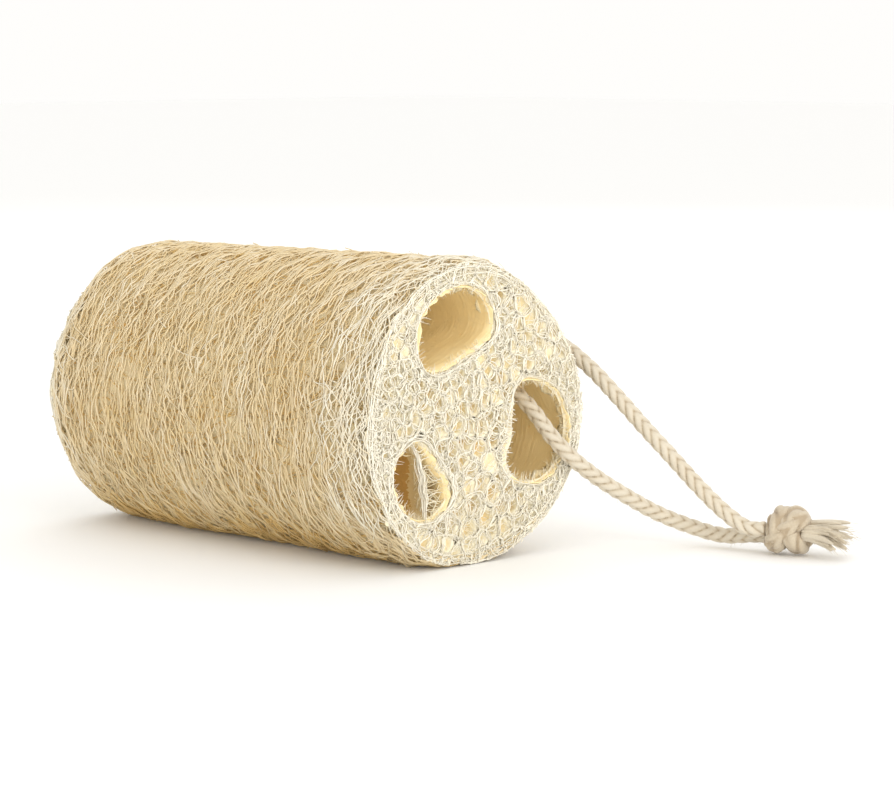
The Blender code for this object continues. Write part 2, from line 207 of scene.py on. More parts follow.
# Seed of each piece's random draws
SEED_NET, SEED_UNDER, SEED_LONG = 21, 57, 83
SEED_LOOSE, SEED_FRONT_RIM, SEED_BACK_RIM = 95, 96, 97
SEED_BODY, SEED_LINING, SEED_PARTITION, SEED_FLAP = 7, 300, 640, 660
SEED_FRONT_FACE, SEED_BACK_FACE = 400, 500
SEED_LEFT_END, SEED_RIGHT_END, SEED_CORD_FUZZ, SEED_KNOT_FUZZ = 71, 72, 73, 74

AXIS_PLACE = np.array((0.0, AXIS_HEIGHT))
NO_TRIANGLES = np.empty((0, 3), int)


# Numbers in even, repeatable streams


def draws(seed):
    return np.random.default_rng(seed)


def between(table, i, j, a, b):
    """Reads a table that closes round: a share a past row i and a share b past column j."""
    j0, j1 = j % table.shape[1], (j + 1) % table.shape[1]
    low = table[i, j0] * (1 - b) + table[i, j1] * b
    high = table[i + 1, j0] * (1 - b) + table[i + 1, j1] * b
    return low * (1 - a) + high * a


def soft_field(seed, step, columns):
    """A smooth random function of place along the wall and angle, from about -1 to 1."""
    rows = int(FIELD_REACH / step) + 4
    lattice = draws(seed).uniform(-1, 1, (rows, columns))

    def read(s, angle):
        u = (np.asarray(s) + FIELD_START) / step
        v = np.asarray(angle) / math.tau * columns
        u, v = np.broadcast_arrays(u, v)
        i = np.clip(np.floor(u).astype(int), 0, rows - 2)
        j = np.floor(v).astype(int)
        a, b = np.clip(u - i, 0, 1), v - j
        return between(lattice, i, j, a * a * (3 - 2 * a), b * b * (3 - 2 * b))

    return read


# Meshes


def unit(v):
    return v / np.maximum(np.linalg.norm(v, axis=-1, keepdims=True), 1e-12)


def circle(count, start=0.0):
    """Even turns round a circle, and the (cos, sin) direction of each."""
    turns = start + math.tau * np.arange(count) / count
    return turns, np.stack([np.cos(turns), np.sin(turns)], axis=1)


def step_lengths(path):
    return np.linalg.norm(np.diff(path, axis=0), axis=1)


def link(name, data):
    obj = bpy.data.objects.new(name, data)
    bpy.context.scene.collection.objects.link(obj)
    return obj


def make_object(name, material, verts, quads, triangles=NO_TRIANGLES, depth=None):
    """A smooth-shaded mesh object, none of it below the ground, with a depth value at each point."""
    verts = np.array(verts, np.float32)
    verts[:, 2] = np.maximum(verts[:, 2], 0)
    mesh = bpy.data.meshes.new(name)
    corners = np.concatenate([quads.ravel(), triangles.ravel()]).astype(np.int32)
    starts = np.concatenate([np.arange(len(quads)) * 4, len(quads) * 4 + np.arange(len(triangles)) * 3])
    mesh.vertices.add(len(verts))
    mesh.vertices.foreach_set("co", verts.ravel())
    mesh.loops.add(len(corners))
    mesh.loops.foreach_set("vertex_index", corners)
    mesh.polygons.add(len(starts))
    mesh.polygons.foreach_set("loop_start", starts.astype(np.int32))
    mesh.update(calc_edges=True)
    mesh.validate()
    mesh.shade_smooth()
    mesh.materials.append(material)
    if depth is not None:
        layer = mesh.attributes.new("depth", "FLOAT", "POINT")
        layer.data.foreach_set("value", np.asarray(depth, np.float32))
    return link(name, mesh)


def ring_quads(rows, around):
    """Faces between rings of corners, each ring closed."""
    i = np.arange(rows - 1)[:, None] * around
    k = np.arange(around)[None, :]
    n = (k + 1) % around
    return np.stack([i + k, i + n, i + around + n, i + around + k], axis=-1).reshape(-1, 4)


def fan_triangles(count):
    """Triangles that fill one ring of corners."""
    k = np.arange(1, count - 1)
    return np.stack([np.zeros_like(k), k, k + 1], axis=1)


def spokes(side, up, directions):
    """Directions round a path, at each of its points."""
    return side[:, None] * directions[None, :, :1] + up[:, None] * directions[None, :, 1:]


def tube_parts(path, radius, up, sides):
    """Corners and faces of a thin tube along path, closed at both ends. up points off its side."""
    heading = unit(np.gradient(path, axis=0))
    side = unit(np.cross(up, heading))
    ring = spokes(side, np.cross(heading, side), circle(sides, math.pi / 2)[1])
    verts = path[:, None] + np.broadcast_to(radius, len(path))[:, None, None] * ring
    cap = fan_triangles(sides)
    caps = np.concatenate([cap[:, (0, 2, 1)], (len(path) - 1) * sides + cap])
    return verts.reshape(-1, 3), ring_quads(len(path), sides), caps


class Tubes:
    """Collects thin tubes and makes one object of them."""

    def __init__(self, sides=3):
        self.sides = sides
        self.parts = []
        self.values = []

    def add(self, path, radius, up, depth):
        self.parts.append(tube_parts(path, radius, up, self.sides))
        self.values.append(np.repeat(np.broadcast_to(depth, len(path)), self.sides))

    def make(self, name, material):
        verts = [part[0] for part in self.parts]
        starts = np.cumsum([0, *(len(part) for part in verts)])
        quads = [part[1] + start for part, start in zip(self.parts, starts)]
        triangles = [part[2] + start for part, start in zip(self.parts, starts)]
        arrays = (np.concatenate(values) for values in (verts, quads, triangles, self.values))
        return make_object(name, material, *arrays)


# Outer wall, read from the frame


def frame_tree(node):
    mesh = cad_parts[node].data
    verts = [v.co.copy() for v in mesh.vertices]
    return BVHTree.FromPolygons(verts, [tuple(p.vertices) for p in mesh.polygons])


def blur(values, passes, wrap):
    """Averages each value with its neighbours along the first axis, some times over."""
    for _ in range(passes):
        if wrap:
            before, after = np.roll(values, 1, axis=0), np.roll(values, -1, axis=0)
        else:
            before = np.concatenate([values[:1], values[:-1]])
            after = np.concatenate([values[1:], values[-1:]])
        values = (before + 2 * values + after) / 4
    return values


class Wall:
    """The sponge's outer wall without its net. A place on it is s, along its profile, and an angle."""

    def __init__(self, tree):
        xs = np.linspace(SPONGE_LOW[0] + WALL_END_GAP, SPONGE_HIGH[0] - WALL_END_GAP, WALL_STATIONS)
        turns = circle(WALL_ANGLES)[0]
        reach = np.array([[self.reach(tree, x, turn) for turn in turns] for x in xs])
        reach = np.maximum(reach, blur(reach, 30, False) - 0.8 * MM)
        reach = blur(blur(reach, 2, False).T, 4, True).T
        rises = np.diff(reach.mean(axis=1))
        along = np.concatenate([[0], np.cumsum(np.hypot(np.diff(xs), rises))])
        even = np.linspace(0, float(along[-1]), WALL_STATIONS)
        xs = np.interp(even, along, xs)
        reach = np.stack([np.interp(even, along, column) for column in reach.T], axis=1)
        flat = (reach * np.cos(turns), AXIS_HEIGHT + reach * np.sin(turns))
        grid = np.stack([np.broadcast_to(xs[:, None], reach.shape), *flat], axis=-1)
        grid = np.concatenate([self.lap(grid[0], -1)[::-1], grid, self.lap(grid[-1], 1)])
        around = np.roll(grid, -1, axis=1) - np.roll(grid, 1, axis=1)
        self.grid = grid
        self.edges = {-1: grid[WALL_LAPS], 1: grid[-1 - WALL_LAPS]}
        self.length = float(along[-1]) + 2 * WALL_LAPS * WALL_LAP
        self.normal = unit(np.cross(around, np.gradient(grid, axis=0)))

    @staticmethod
    def lap(ring, side):
        """A few more rings that turn in over the cut face."""
        inward = unit(AXIS_PLACE - ring[:, 1:])
        rings = []
        for i in range(1, WALL_LAPS + 1):
            flat = ring[:, 1:] + inward * WALL_LAP * i
            x = face_x(side, flat[:, 0], flat[:, 1])
            rings.append(np.column_stack([ring[:, 0] + (x - ring[:, 0]) * min(1.0, 0.45 * i), flat]))
        return np.array(rings)

    @staticmethod
    def reach(tree, x, turn):
        out = Vector((0, math.cos(turn), math.sin(turn)))
        hit = tree.ray_cast(Vector((x, 0, AXIS_HEIGHT)) + RAY_START * out, -out)
        return RAY_START - hit[3]

    def read(self, table, s, angle):
        u = np.clip(np.asarray(s) / self.length, 0, 1) * (len(self.grid) - 1.001)
        v = np.asarray(angle) / math.tau * WALL_ANGLES
        i, j = np.floor(u).astype(int), np.floor(v).astype(int)
        return between(table, i, j, (u - i)[..., None], (v - j)[..., None])

    def place(self, s, angle, lift):
        """Points of the wall raised by lift, and the wall's normals there. Nothing sinks into the floor."""
        normal = unit(self.read(self.normal, s, angle))
        point = self.read(self.grid, s, angle) + np.asarray(lift)[..., None] * normal
        point[..., 2] = np.maximum(point[..., 2], LOWEST_NET)
        return point, normal


def clear_of_cord(points, gap):
    """Moves points that lie in the cord's way out to its side."""
    near = (points[:, 0] > CORD_START_X) & (points[:, 1] > CORD_SIDE_Y[0]) & (points[:, 1] < CORD_SIDE_Y[1])
    chosen = np.where(near)[0]
    if not len(chosen):
        return points
    away = points[chosen, None] - CORD_PATH[None]
    distance = np.linalg.norm(away, axis=2)
    nearest = distance.argmin(axis=1)
    each = np.arange(len(chosen))
    push = unit(away[each, nearest]) * np.maximum(gap - distance[each, nearest], 0)[:, None]
    points = points.copy()
    points[chosen] += push
    return points


# Net of the skin


def end_paleness(wall, s):
    """How much paler the fibres get towards the cut faces, most of all at the front. At the back end this
    paleness is painted light, for light glowing through the sponge there.
    """
    back = np.clip(1 - s / (22 * MM), 0, 1) ** 1.5
    front = np.clip(1 - (wall.length - s) / (48 * MM), 0, 1) ** 1.5
    return 0.3 * back + 0.5 * front


def shade_below(path):
    """Painted shade: how much more golden the fibres are painted where the sponge curves in above the ground.
    """
    return 0.75 * np.clip(1 - path[:, 2] / CURVE_HEIGHT, 0, 1)


def wavy_rings(tubes, wall, seed, depth, pitch, waves, step, lift, radius):
    """Rings round the wall whose flat-topped waves meet, so that long cells open between them."""
    draw = draws(seed)
    phase_field, drift_field, rough_field, lift_field, size_field = (
        soft_field(seed + k, *shape) for k, shape in enumerate(NET_FIELDS, 1)
    )
    count = int(wall.length / pitch)
    around = int(math.tau * SPONGE_RADIUS / step)
    angle = np.linspace(0, math.tau, around + 1)
    for i in range(count + 1):
        middle = (i + 0.5) * wall.length / (count + 1)
        shift = draw.uniform(0, 100)
        phase = waves * angle + 7.0 * phase_field(middle, angle) + math.pi * i
        wave = np.tanh(1.5 * np.cos(phase + 1.5 * lift_field(middle, angle + shift)))
        reach = pitch * (0.6 + 0.35 * lift_field(middle, angle + shift + 2.0))
        s = middle + reach * wave + 3.2 * MM * drift_field(middle, angle)
        s += 0.42 * pitch * rough_field(middle, angle)
        s += 0.9 * pitch * size_field(middle, angle + shift)
        rise = lift + 0.34 * MM * lift_field(middle, angle) + 0.16 * MM * rough_field(middle, angle + 2.0)
        s = np.clip(s, 0, wall.length)
        path, normal = wall.place(s, angle, rise)
        thick = radius * (1 + 0.32 * size_field(middle, angle))
        # Painted shade: deeper layers and fibres lower in the net are painted more golden, lifted ones paler.
        level = depth - 0.3 * lift_field(middle, angle) - end_paleness(wall, s) + shade_below(path)
        tubes.add(clear_of_cord(path, NET_CLEARANCE), thick, normal, level)
    return tubes


def loose_fibres(tubes, wall, count, seed, span, spread):
    """Single fibres that cross the net at a slant, with a few ends that stand off it."""
    draw = draws(seed)
    for _ in range(count):
        points = int(draw.integers(5, 15))
        s = draw.uniform(*span)
        angle = draw.uniform(0, math.tau)
        slant = math.radians(draw.normal(0, spread))
        bend = draw.normal(0, 0.11, points).cumsum() + slant
        places = s + np.cumsum(LOOSE_STEP * np.sin(bend))
        angles = angle + np.cumsum(LOOSE_STEP * np.cos(bend)) / SPONGE_RADIUS
        lift = 0.22 * MM + 0.16 * MM * np.sin(np.linspace(0, draw.uniform(3, 9), points) + angle)
        tail = np.clip((np.arange(points) - points + 3) / 2, 0, 1)
        end_lift = draw.uniform(0.3, 1.5) * MM if draw.random() < 0.22 else -0.7 * MM
        lift = lift * (1 - tail) + end_lift * tail
        lift[0] = -0.6 * MM
        inside = (places > 0) & (places < wall.length)
        if inside.sum() < 4:
            continue
        path, normal = wall.place(places[inside], angles[inside], lift[inside])
        radius = draw.uniform(0.12, 0.25) * MM
        # Its tone varies at random; shade_below adds painted shade near the ground.
        depth = draw.uniform(-0.2, 0.25) - float(end_paleness(wall, s)) + shade_below(path)
        tubes.add(clear_of_cord(path, FACE_CLEARANCE), radius, normal, depth)


def lengthwise_fibres(tubes, wall):
    """Deeper fibres that run along the sponge, under the rings."""
    draw = draws(SEED_LONG)
    field = soft_field(SEED_LONG + 1, 9 * MM, 40)
    for k in range(LONG_FIBRES):
        angle = math.tau * (k + draw.uniform(-0.4, 0.4)) / LONG_FIBRES
        s = np.arange(0, wall.length, 2.2 * MM)
        turn = angle + 0.09 * field(s, angle) + 0.02 * np.sin(s / (4 * MM) + k)
        path, normal = wall.place(s, turn, -1.15 * MM + 0.2 * MM * field(s, turn + 1))
        # Painted shade: these deepest fibres are painted darker golden.
        tubes.add(path, LONG_RADIUS, normal, 0.55)


def build_skin(wall, material):
    """Three layers: the net that shows, a wider net under it and fibres along the sponge below both."""
    outer = Tubes()
    wavy_rings(outer, wall, SEED_NET, 0.12, **NET)
    half = len(outer.parts) // 2
    pieces = []
    for name, share in (("skin_net_back", slice(None, half)), ("skin_net_front", slice(half, None))):
        part = Tubes()
        part.parts, part.values = outer.parts[share], outer.values[share]
        pieces.append(part.make(name, material))
    under = Tubes()
    # Painted shade: the under net's depth value of 0.4 paints it darker than the net that shows.
    wavy_rings(under, wall, SEED_UNDER, 0.4, **UNDER_NET)
    lengthwise_fibres(under, wall)
    pieces.append(under.make("skin_net_under", material))
    loose = Tubes()
    near, far = RIM_REACH
    loose_fibres(loose, wall, LOOSE_FIBRES, SEED_LOOSE, (0.0, wall.length), LOOSE_SPREAD)
    loose_fibres(loose, wall, RIM_FIBRES, SEED_FRONT_RIM, (wall.length - far, wall.length - near), RIM_SPREAD)
    loose_fibres(loose, wall, RIM_FIBRES // 2, SEED_BACK_RIM, RIM_REACH, RIM_SPREAD)
    pieces.append(loose.make("skin_fibres_loose", material))
    return pieces


# Seed channels


def channel_outline(tree, channel, x):
    """The channel's outline at x, as (y, z) points round its middle."""
    y, z = CHANNEL_MIDDLES[channel]
    if x < BACK_START:
        share = min(1.0, (-x + BACK_START) / BACK_LENGTH)
        y *= 1 - BACK_DRAW_IN * share
        z += (AXIS_HEIGHT - z) * BACK_DRAW_IN * share
    points = []
    for j in range(CHANNEL_ANGLES):
        turn = math.tau * j / CHANNEL_ANGLES
        out = Vector((0, math.cos(turn), math.sin(turn)))
        hit = tree.ray_cast(Vector((x, y, z)), out)
        reach = hit[3] if hit[3] is not None and hit[3] < CHANNEL_WIDEST else CHANNEL_USUAL
        points.append((y + reach * out.y, z + reach * out.z))
    return np.array(points)


def inside_outline(outline, points):
    """Which points lie inside the closed outline."""
    y0, z0 = outline[:, 0], outline[:, 1]
    y1, z1 = np.roll(y0, -1), np.roll(z0, -1)
    py, pz = points[:, :1], points[:, 1:]
    spans = (z0 > pz) != (z1 > pz)
    with np.errstate(divide="ignore", invalid="ignore"):
        crossing = y0 + (pz - z0) / (z1 - z0) * (y1 - y0)
    return (spans & (py < crossing)).sum(axis=1) % 2 == 1


def out_of(heading):
    """The outward direction beside each heading of an outline."""
    return unit(np.stack([heading[:, 1], -heading[:, 0]], axis=1))


def grow_outline(outline, gap):
    """The outline moved outwards by gap."""
    return outline + gap * out_of(np.roll(outline, -1, axis=0) - np.roll(outline, 1, axis=0))


# Cut faces


def face_x(side, y, z):
    """Where the cut face lies: a shallow dome."""
    edge = SPONGE_HIGH[0] if side > 0 else -SPONGE_LOW[0]
    share = np.minimum(np.hypot(y, z - AXIS_HEIGHT) / SPONGE_RADIUS, 1.0)
    return side * (edge - FACE_RECESS - FACE_DOME * share**2)


def voronoi_edges(points):
    """Edges between neighbouring cells of the given middles, as pairs of (y, z) ends."""
    made = delaunay_2d_cdt([Vector(p) for p in points], [], [], 0, 1e-9, True)
    coords, triangles = made[0], made[2]
    middles, by_edge = [], {}
    for index, corners in enumerate(triangles):
        a, b, c = (np.array(coords[k]) for k in corners)
        middles.append(circle_middle(a, b, c))
        for k in range(3):
            edge = tuple(sorted((corners[k], corners[(k + 1) % 3])))
            by_edge.setdefault(edge, []).append(index)
    return [(middles[pair[0]], middles[pair[1]]) for pair in by_edge.values() if len(pair) == 2]


def circle_middle(a, b, c):
    """The middle of the circle through three points, held near their own middle."""
    d = 2 * (a[0] * (b[1] - c[1]) + b[0] * (c[1] - a[1]) + c[0] * (a[1] - b[1]))
    own = (a + b + c) / 3
    if abs(d) < 1e-12:
        return own
    sa, sb, sc = a @ a, b @ b, c @ c
    y = (sa * (b[1] - c[1]) + sb * (c[1] - a[1]) + sc * (a[1] - b[1])) / d
    z = (sa * (c[0] - b[0]) + sb * (a[0] - c[0]) + sc * (b[0] - a[0])) / d
    away = np.array((y, z)) - own
    reach = np.linalg.norm(away)
    return own + away * min(1.0, 2 * MM / max(reach, 1e-9))


def spread_points(draw, reach):
    """Cell middles over a disc round the axis: uneven, and closer together near its edge."""
    size_field = soft_field(int(draw.integers(1, 999)), 14 * MM, 9)
    found = np.empty((0, 2))
    sizes = np.empty(0)
    for _ in range(CELL_TRIES):
        place = draw.uniform(-reach, reach, 2)
        out = float(np.hypot(*place))
        if out > reach:
            continue
        uneven = 1 + 0.5 * float(size_field(out, math.atan2(place[1], place[0])))
        size = CELL_SIZE * uneven * (1 - 0.34 * (out / reach) ** 4)
        if len(found) and (np.linalg.norm(found - place, axis=1) < 0.44 * (size + sizes)).any():
            continue
        found = np.vstack([found, place])
        sizes = np.append(sizes, size)
    return found + AXIS_PLACE


def cell_reach(points, index, turns):
    """How far one cell reaches from its middle in each direction, halfway to its neighbours."""
    away = points - points[index]
    gap = np.linalg.norm(away, axis=1)
    near = np.argsort(gap)[1:12]
    facing = np.cos(turns[:, None] - np.arctan2(away[near, 1], away[near, 0])[None, :])
    reach = (gap[near] / 2 / np.maximum(facing, 0.12)).min(axis=1)
    return 0.5 * reach + 0.25 * (np.roll(reach, 1) + np.roll(reach, -1))


class Face:
    """One cut face: its outline, the channels' mouths and what is free between them."""

    def __init__(self, wall, tree, side):
        self.side = side
        self.outline = wall.edges[side][:, 1:]
        mouth_x = side * (SPONGE_HIGH[0] - MOUTH_DEPTH)
        self.mouths = [channel_outline(tree, k, mouth_x) for k in range(len(CHANNEL_MIDDLES))]
        self.lips = [grow_outline(mouth, 0.4 * MM) for mouth in self.mouths]
        self.bound = grow_outline(self.outline, 0.3 * MM)

    def free(self, places):
        places = np.atleast_2d(places)
        good = inside_outline(self.bound, places)
        for lip in self.lips:
            good &= ~inside_outline(lip, places)
        return good

    def points(self, flat, sink):
        """Points of the scene for (y, z) places, sink behind the face."""
        return np.column_stack([face_x(self.side, flat[:, 0], flat[:, 1]) - self.side * sink, flat])

    def lay(self, tubes, line, sink, radius, depth):
        """Lays a (y, z) line on the face, sink behind it, in the stretches that are free."""
        good = self.free(line)
        if good.sum() < 3:
            return
        sink, radius, depth = (np.broadcast_to(values, len(line)) for values in (sink, radius, depth))
        for run in np.split(np.arange(len(line)), np.where(np.diff(good.astype(int)) != 0)[0] + 1):
            if len(run) >= 3 and good[run[0]]:
                self.hang(tubes, line[run], sink[run], radius[run], depth[run])

    def hang(self, tubes, line, sink, radius, depth):
        """Runs a (y, z) line behind the face, across a mouth too."""
        path = self.points(line, sink)
        up = np.broadcast_to((float(self.side), 0.01, 0.01), path.shape)
        tubes.add(clear_of_cord(path, FACE_CLEARANCE), radius, up, depth)


def bowed_line(draw, start, end, points, bow):
    """A line between two places that bows to one side and wavers."""
    t = np.linspace(0, 1, points)[:, None]
    along = end - start
    across = np.array((-along[1], along[0]))
    sideways = draw.normal(0, bow) * 4 * t * (1 - t)
    sideways = sideways + draw.normal(0, 0.25 * bow) * np.sin(math.tau * t)
    over = draw.uniform(-0.16, 0.16, 2)
    return start + along * (over[0] + (1 + over[1] - over[0]) * t) + across * sideways


def face_cells(face, seed):
    """Round cells of the cut face: middle, reach in each direction and depth of each."""
    draw = draws(seed)
    points = spread_points(draw, CELL_FIELD)
    turns, headings = circle(CELL_TURNS)
    cells = []
    for index, middle in enumerate(points):
        deep = draw.choice((draw.uniform(0.7, 2.0), draw.uniform(2.8, 5.4)), p=(0.35, 0.65)) * MM
        wobble = 1 + draw.normal(0, 0.1, CELL_TURNS)
        if not face.free(middle)[0]:
            continue
        inside = float(rim_gap(face.outline, middle[None])[0])
        deep = min(deep, max(0.7 * MM, FACE_DEPTH * (inside - 1 * MM) / (6 * MM) * 0.8))
        reach = cell_reach(points, index, turns) * wobble
        for share in (0.9, 0.75, 0.6, 0.45, 0.3):
            held = face.free(middle + headings * reach[:, None])
            reach = np.where(held, reach, reach * share)
        cells.append((middle, reach, deep))
    return points, cells


def cell_funnels(face, name, seed, cells, material):
    """The thin skin of each cell, which narrows like a funnel as it runs in."""
    draw = draws(seed)
    turns, headings = circle(CELL_TURNS)
    verts, depths, quads, caps = [], [], [], []
    for middle, reach, deep in cells:
        drift = draw.normal(0, 0.35, 2) * MM
        start = len(verts) * CELL_TURNS
        for level, width in CELL_RINGS:
            ring = middle + drift * level + headings * (reach * width)[:, None]
            sink = 0.45 * MM + level * deep + 0.12 * MM * np.sin(3 * turns + middle[0] * 2000)
            verts.append(face.points(ring, sink))
            # Painted shade: the skin is painted more golden the deeper it lies.
            depths.append(sink / SINK_SCALE - 0.25 + 0.2 * level)
        quads.append(start + ring_quads(len(CELL_RINGS), CELL_TURNS))
        caps.append(start + (len(CELL_RINGS) - 1) * CELL_TURNS + fan_triangles(CELL_TURNS))
    return make_object(name, material, *(np.concatenate(part) for part in (verts, quads, caps, depths)))


def cell_loops(face, tubes, seed, cells, sinks):
    """Fibres that run round inside each cell, and a few across it."""
    draw = draws(seed)
    turns, headings = circle(CELL_TURNS)
    order = np.append(np.arange(CELL_TURNS), 0)
    for middle, reach, deep in cells:
        for sink in sinks:
            if sink > deep:
                continue
            width = 0.97 - 0.3 * sink / deep + draw.normal(0, 0.06)
            ring = reach * width * (1 + draw.normal(0, 0.06, CELL_TURNS))
            flat = middle + draw.normal(0, 0.22, 2) * MM
            flat = flat + headings * ring[:, None]
            lower = sink + 0.45 * MM * np.sin(turns + draw.uniform(0, 6)) + draw.normal(0, 0.25) * MM
            radius = WEB_RADIUS * draw.uniform(0.6, 1.25)
            # Painted shade: the deeper a loop lies, the more golden it is painted.
            face.lay(tubes, flat[order], lower[order], radius, sink / SINK_SCALE - 0.12)
        turn = draw.uniform(0, math.pi)
        across = np.array((math.cos(turn), math.sin(turn))) * reach.mean() * 1.1
        line = bowed_line(draw, middle - across, middle + across, 6, 0.25)
        face.lay(tubes, line, draw.uniform(0.1, 0.7) * min(deep, 3 * MM), 0.13 * MM, -0.1)


def cell_web(face, tubes, seed, points, fibres):
    """Loose bundles of pale fibres along the walls between the cells."""
    draw = draws(seed)
    bump = np.array((0.0, 0.75, 1.0, 0.75, 0.0))
    for start, end in voronoi_edges(points):
        if np.linalg.norm(end - start) < 0.3 * MM:
            continue
        for _ in range(fibres):
            line = bowed_line(draw, start, end, len(bump), 0.2) + draw.normal(0, 0.36 * MM, 2)
            sink = draw.uniform(-0.5, 0.9) * MM - 0.35 * MM * bump
            radius = WEB_RADIUS * draw.uniform(0.7, 1.5)
            # Painted shade: deeper fibres are painted more golden, with a random spread.
            face.lay(tubes, line, sink, radius, sink / SINK_SCALE + draw.uniform(-0.15, 0.1))


def mouth_collar(face, name, mouth, material):
    """The channel's smooth skin where it spreads out over the cut face, widest towards the rim."""
    middle = mouth.mean(axis=0)
    heading = unit(mouth - middle)
    rim = 0.5 + 0.5 * (heading @ unit(middle - AXIS_PLACE))
    turn = np.linspace(0, math.tau, len(mouth), endpoint=False)
    width = (2.3 + 3.2 * rim**2 + 0.5 * np.sin(3 * turn) + 0.3 * np.sin(7 * turn + 1)) * MM
    for share in (0.85, 0.75, 0.6, 0.5, 0.4):
        inside = inside_outline(face.bound, mouth + heading * (width + 1.2 * MM)[:, None])
        width = np.where(inside, width, width * share)
    levels = np.linspace(0, 1, COLLAR_RINGS)
    verts = []
    for level in levels:
        ring = mouth - 0.5 * MM * heading + heading * (width * level)[:, None]
        sink = (0.5 + 1.5 * (1 - level) ** 3) * MM + 0.1 * MM * np.sin(5 * turn + 6 * level)
        verts.append(face.points(ring, sink + 1.1 * MM * level**3))
    quads = ring_quads(COLLAR_RINGS, len(mouth))
    # Painted shade: the collar is painted a little darker towards the mouth, where it lies deeper.
    depth = np.repeat(0.2 * (1 - levels) - 0.25, len(mouth))
    return make_object(name, material, np.concatenate(verts), quads, depth=depth)


def face_hairs(face, tubes, seed, count):
    """Fine curled fibres that lie over the web in all directions, in drifts."""
    draw = draws(seed)
    drifts = soft_field(seed, 11 * MM, 8)
    laid = 0
    while laid < count:
        points = int(draw.integers(8, 17))
        start = draw.uniform(-48, 48, 2) * MM
        rich = 0.5 + 0.5 * float(drifts(math.hypot(*start), math.atan2(start[1], start[0])))
        if draw.random() > rich**1.5:
            continue
        laid += 1
        turn = draw.uniform(0, math.tau) + np.cumsum(draw.normal(0, 0.2, points) + draw.normal(0, 0.14))
        steps = HAIR_STEP * np.stack([np.cos(turn), np.sin(turn)], axis=1)
        line = start + AXIS_PLACE + np.cumsum(steps, axis=0)
        sink = draw.uniform(-0.6, 0.5) * MM + 0.35 * MM * np.sin(np.linspace(0, 5, points) + turn[0])
        radius = draw.uniform(0.08, 0.15) * MM
        face.lay(tubes, line, sink, radius, draw.uniform(-0.3, 0.0))


def lip_rings(face, tubes, seed, share_kept):
    """Pale bundles that run round each channel's mouth and round the face's outer edge."""
    draw = draws(seed)
    edges = [(mouth, draw.integers(8, 11), 2.2) for mouth in face.mouths]
    edges.append((grow_outline(face.outline, -3.6 * MM), 9, 3.4))
    for outline, count, spread in edges:
        closed = np.concatenate([outline, outline[:1]])
        share = np.linspace(0, math.tau, len(closed))
        out = out_of(np.gradient(closed, axis=0))
        for _ in range(round(count * share_kept)):
            away = draw.uniform(0.4, spread) * MM
            away = away + 0.45 * MM * np.sin(draw.integers(2, 6) * share + draw.uniform(0, 6))
            away = away + 0.25 * MM * np.sin(draw.integers(9, 17) * share + draw.uniform(0, 6))
            line = closed + np.maximum(away, 0.45 * MM)[:, None] * out
            sink = draw.uniform(-0.4, 1.3) * MM + 0.4 * MM * np.sin(draw.integers(3, 9) * share)
            # Painted shade: deeper bundles are painted more golden.
            face.lay(tubes, line, sink, draw.uniform(0.13, 0.24) * MM, sink / SINK_SCALE - 0.1)


def mouth_teeth(face, tubes, seed, count):
    """Short broken ends like a comb's teeth that point into each channel's mouth."""
    draw = draws(seed)
    share = np.linspace(0, 1, 5)
    for number, mouth in enumerate(face.mouths):
        middle = mouth.mean(axis=0)
        rich_field = soft_field(seed + number, 20 * MM, 5)
        for _ in range(count):
            t = draw.uniform(0, len(mouth))
            i = int(t) % len(mouth)
            root = mouth[i] + (t - int(t)) * (mouth[(i + 1) % len(mouth)] - mouth[i])
            rich = 0.5 + 0.5 * float(rich_field(0.0, math.tau * t / len(mouth)))
            length = draw.uniform(0.6, 1.4 + 2.6 * rich) * MM
            turn = draw.normal(0, 0.35)
            c, s = math.cos(turn), math.sin(turn)
            inward = np.array(((c, -s), (s, c))) @ unit(middle - root)
            flat = root - TOOTH_ROOT * inward + np.outer(share * (length + TOOTH_ROOT), inward)
            sink = draw.uniform(-0.2, 3.4) * MM + share**2 * draw.uniform(-1.2, 1.2) * MM
            radius = draw.uniform(0.11, 0.2) * MM * (1 - 0.65 * share)
            # Painted shade: deeper teeth are painted more golden.
            face.hang(tubes, flat, sink, radius, sink / (7 * MM) - 0.1)


def channel_partition(face, tubes, mouth, skin):
    """A thin wall that parts one channel in two, with fibres along its front edge."""
    top, low = mouth[np.argmax(mouth[:, 1])], mouth[np.argmin(mouth[:, 1])]
    t = np.linspace(-0.02, 1.02, 26)
    line = top + np.outer(t, low - top)
    line[:, 0] += (3.3 * np.sin(math.pi * t) + 0.35 * np.sin(9 * t)) * MM
    ragged = 1 + 0.4 * np.sin(23 * t)
    shares = np.linspace(0.0, 1.0, 12)
    rows = []
    for share in shares:
        sway = 0.9 * MM * np.sin(3 * share + 2 * t)
        row = face.points(line + np.column_stack([sway, np.zeros_like(t)]) * share, (1.6 + 15 * share) * MM)
        row[:, 0] -= face.side * 0.9 * MM * np.sin(math.pi * t) * ragged * (share == 0)
        rows.append(row)
    partition_fibres(face, tubes, mouth, t, line, ragged)
    front = np.array(rows)
    back = front + np.array((0.0, 0.3 * MM, 0.0))
    # Painted shade: the partition is painted darker the further it runs into the channel.
    return make_sheet("channel_partition", front, back, 0.85 * np.sqrt(shares), skin)


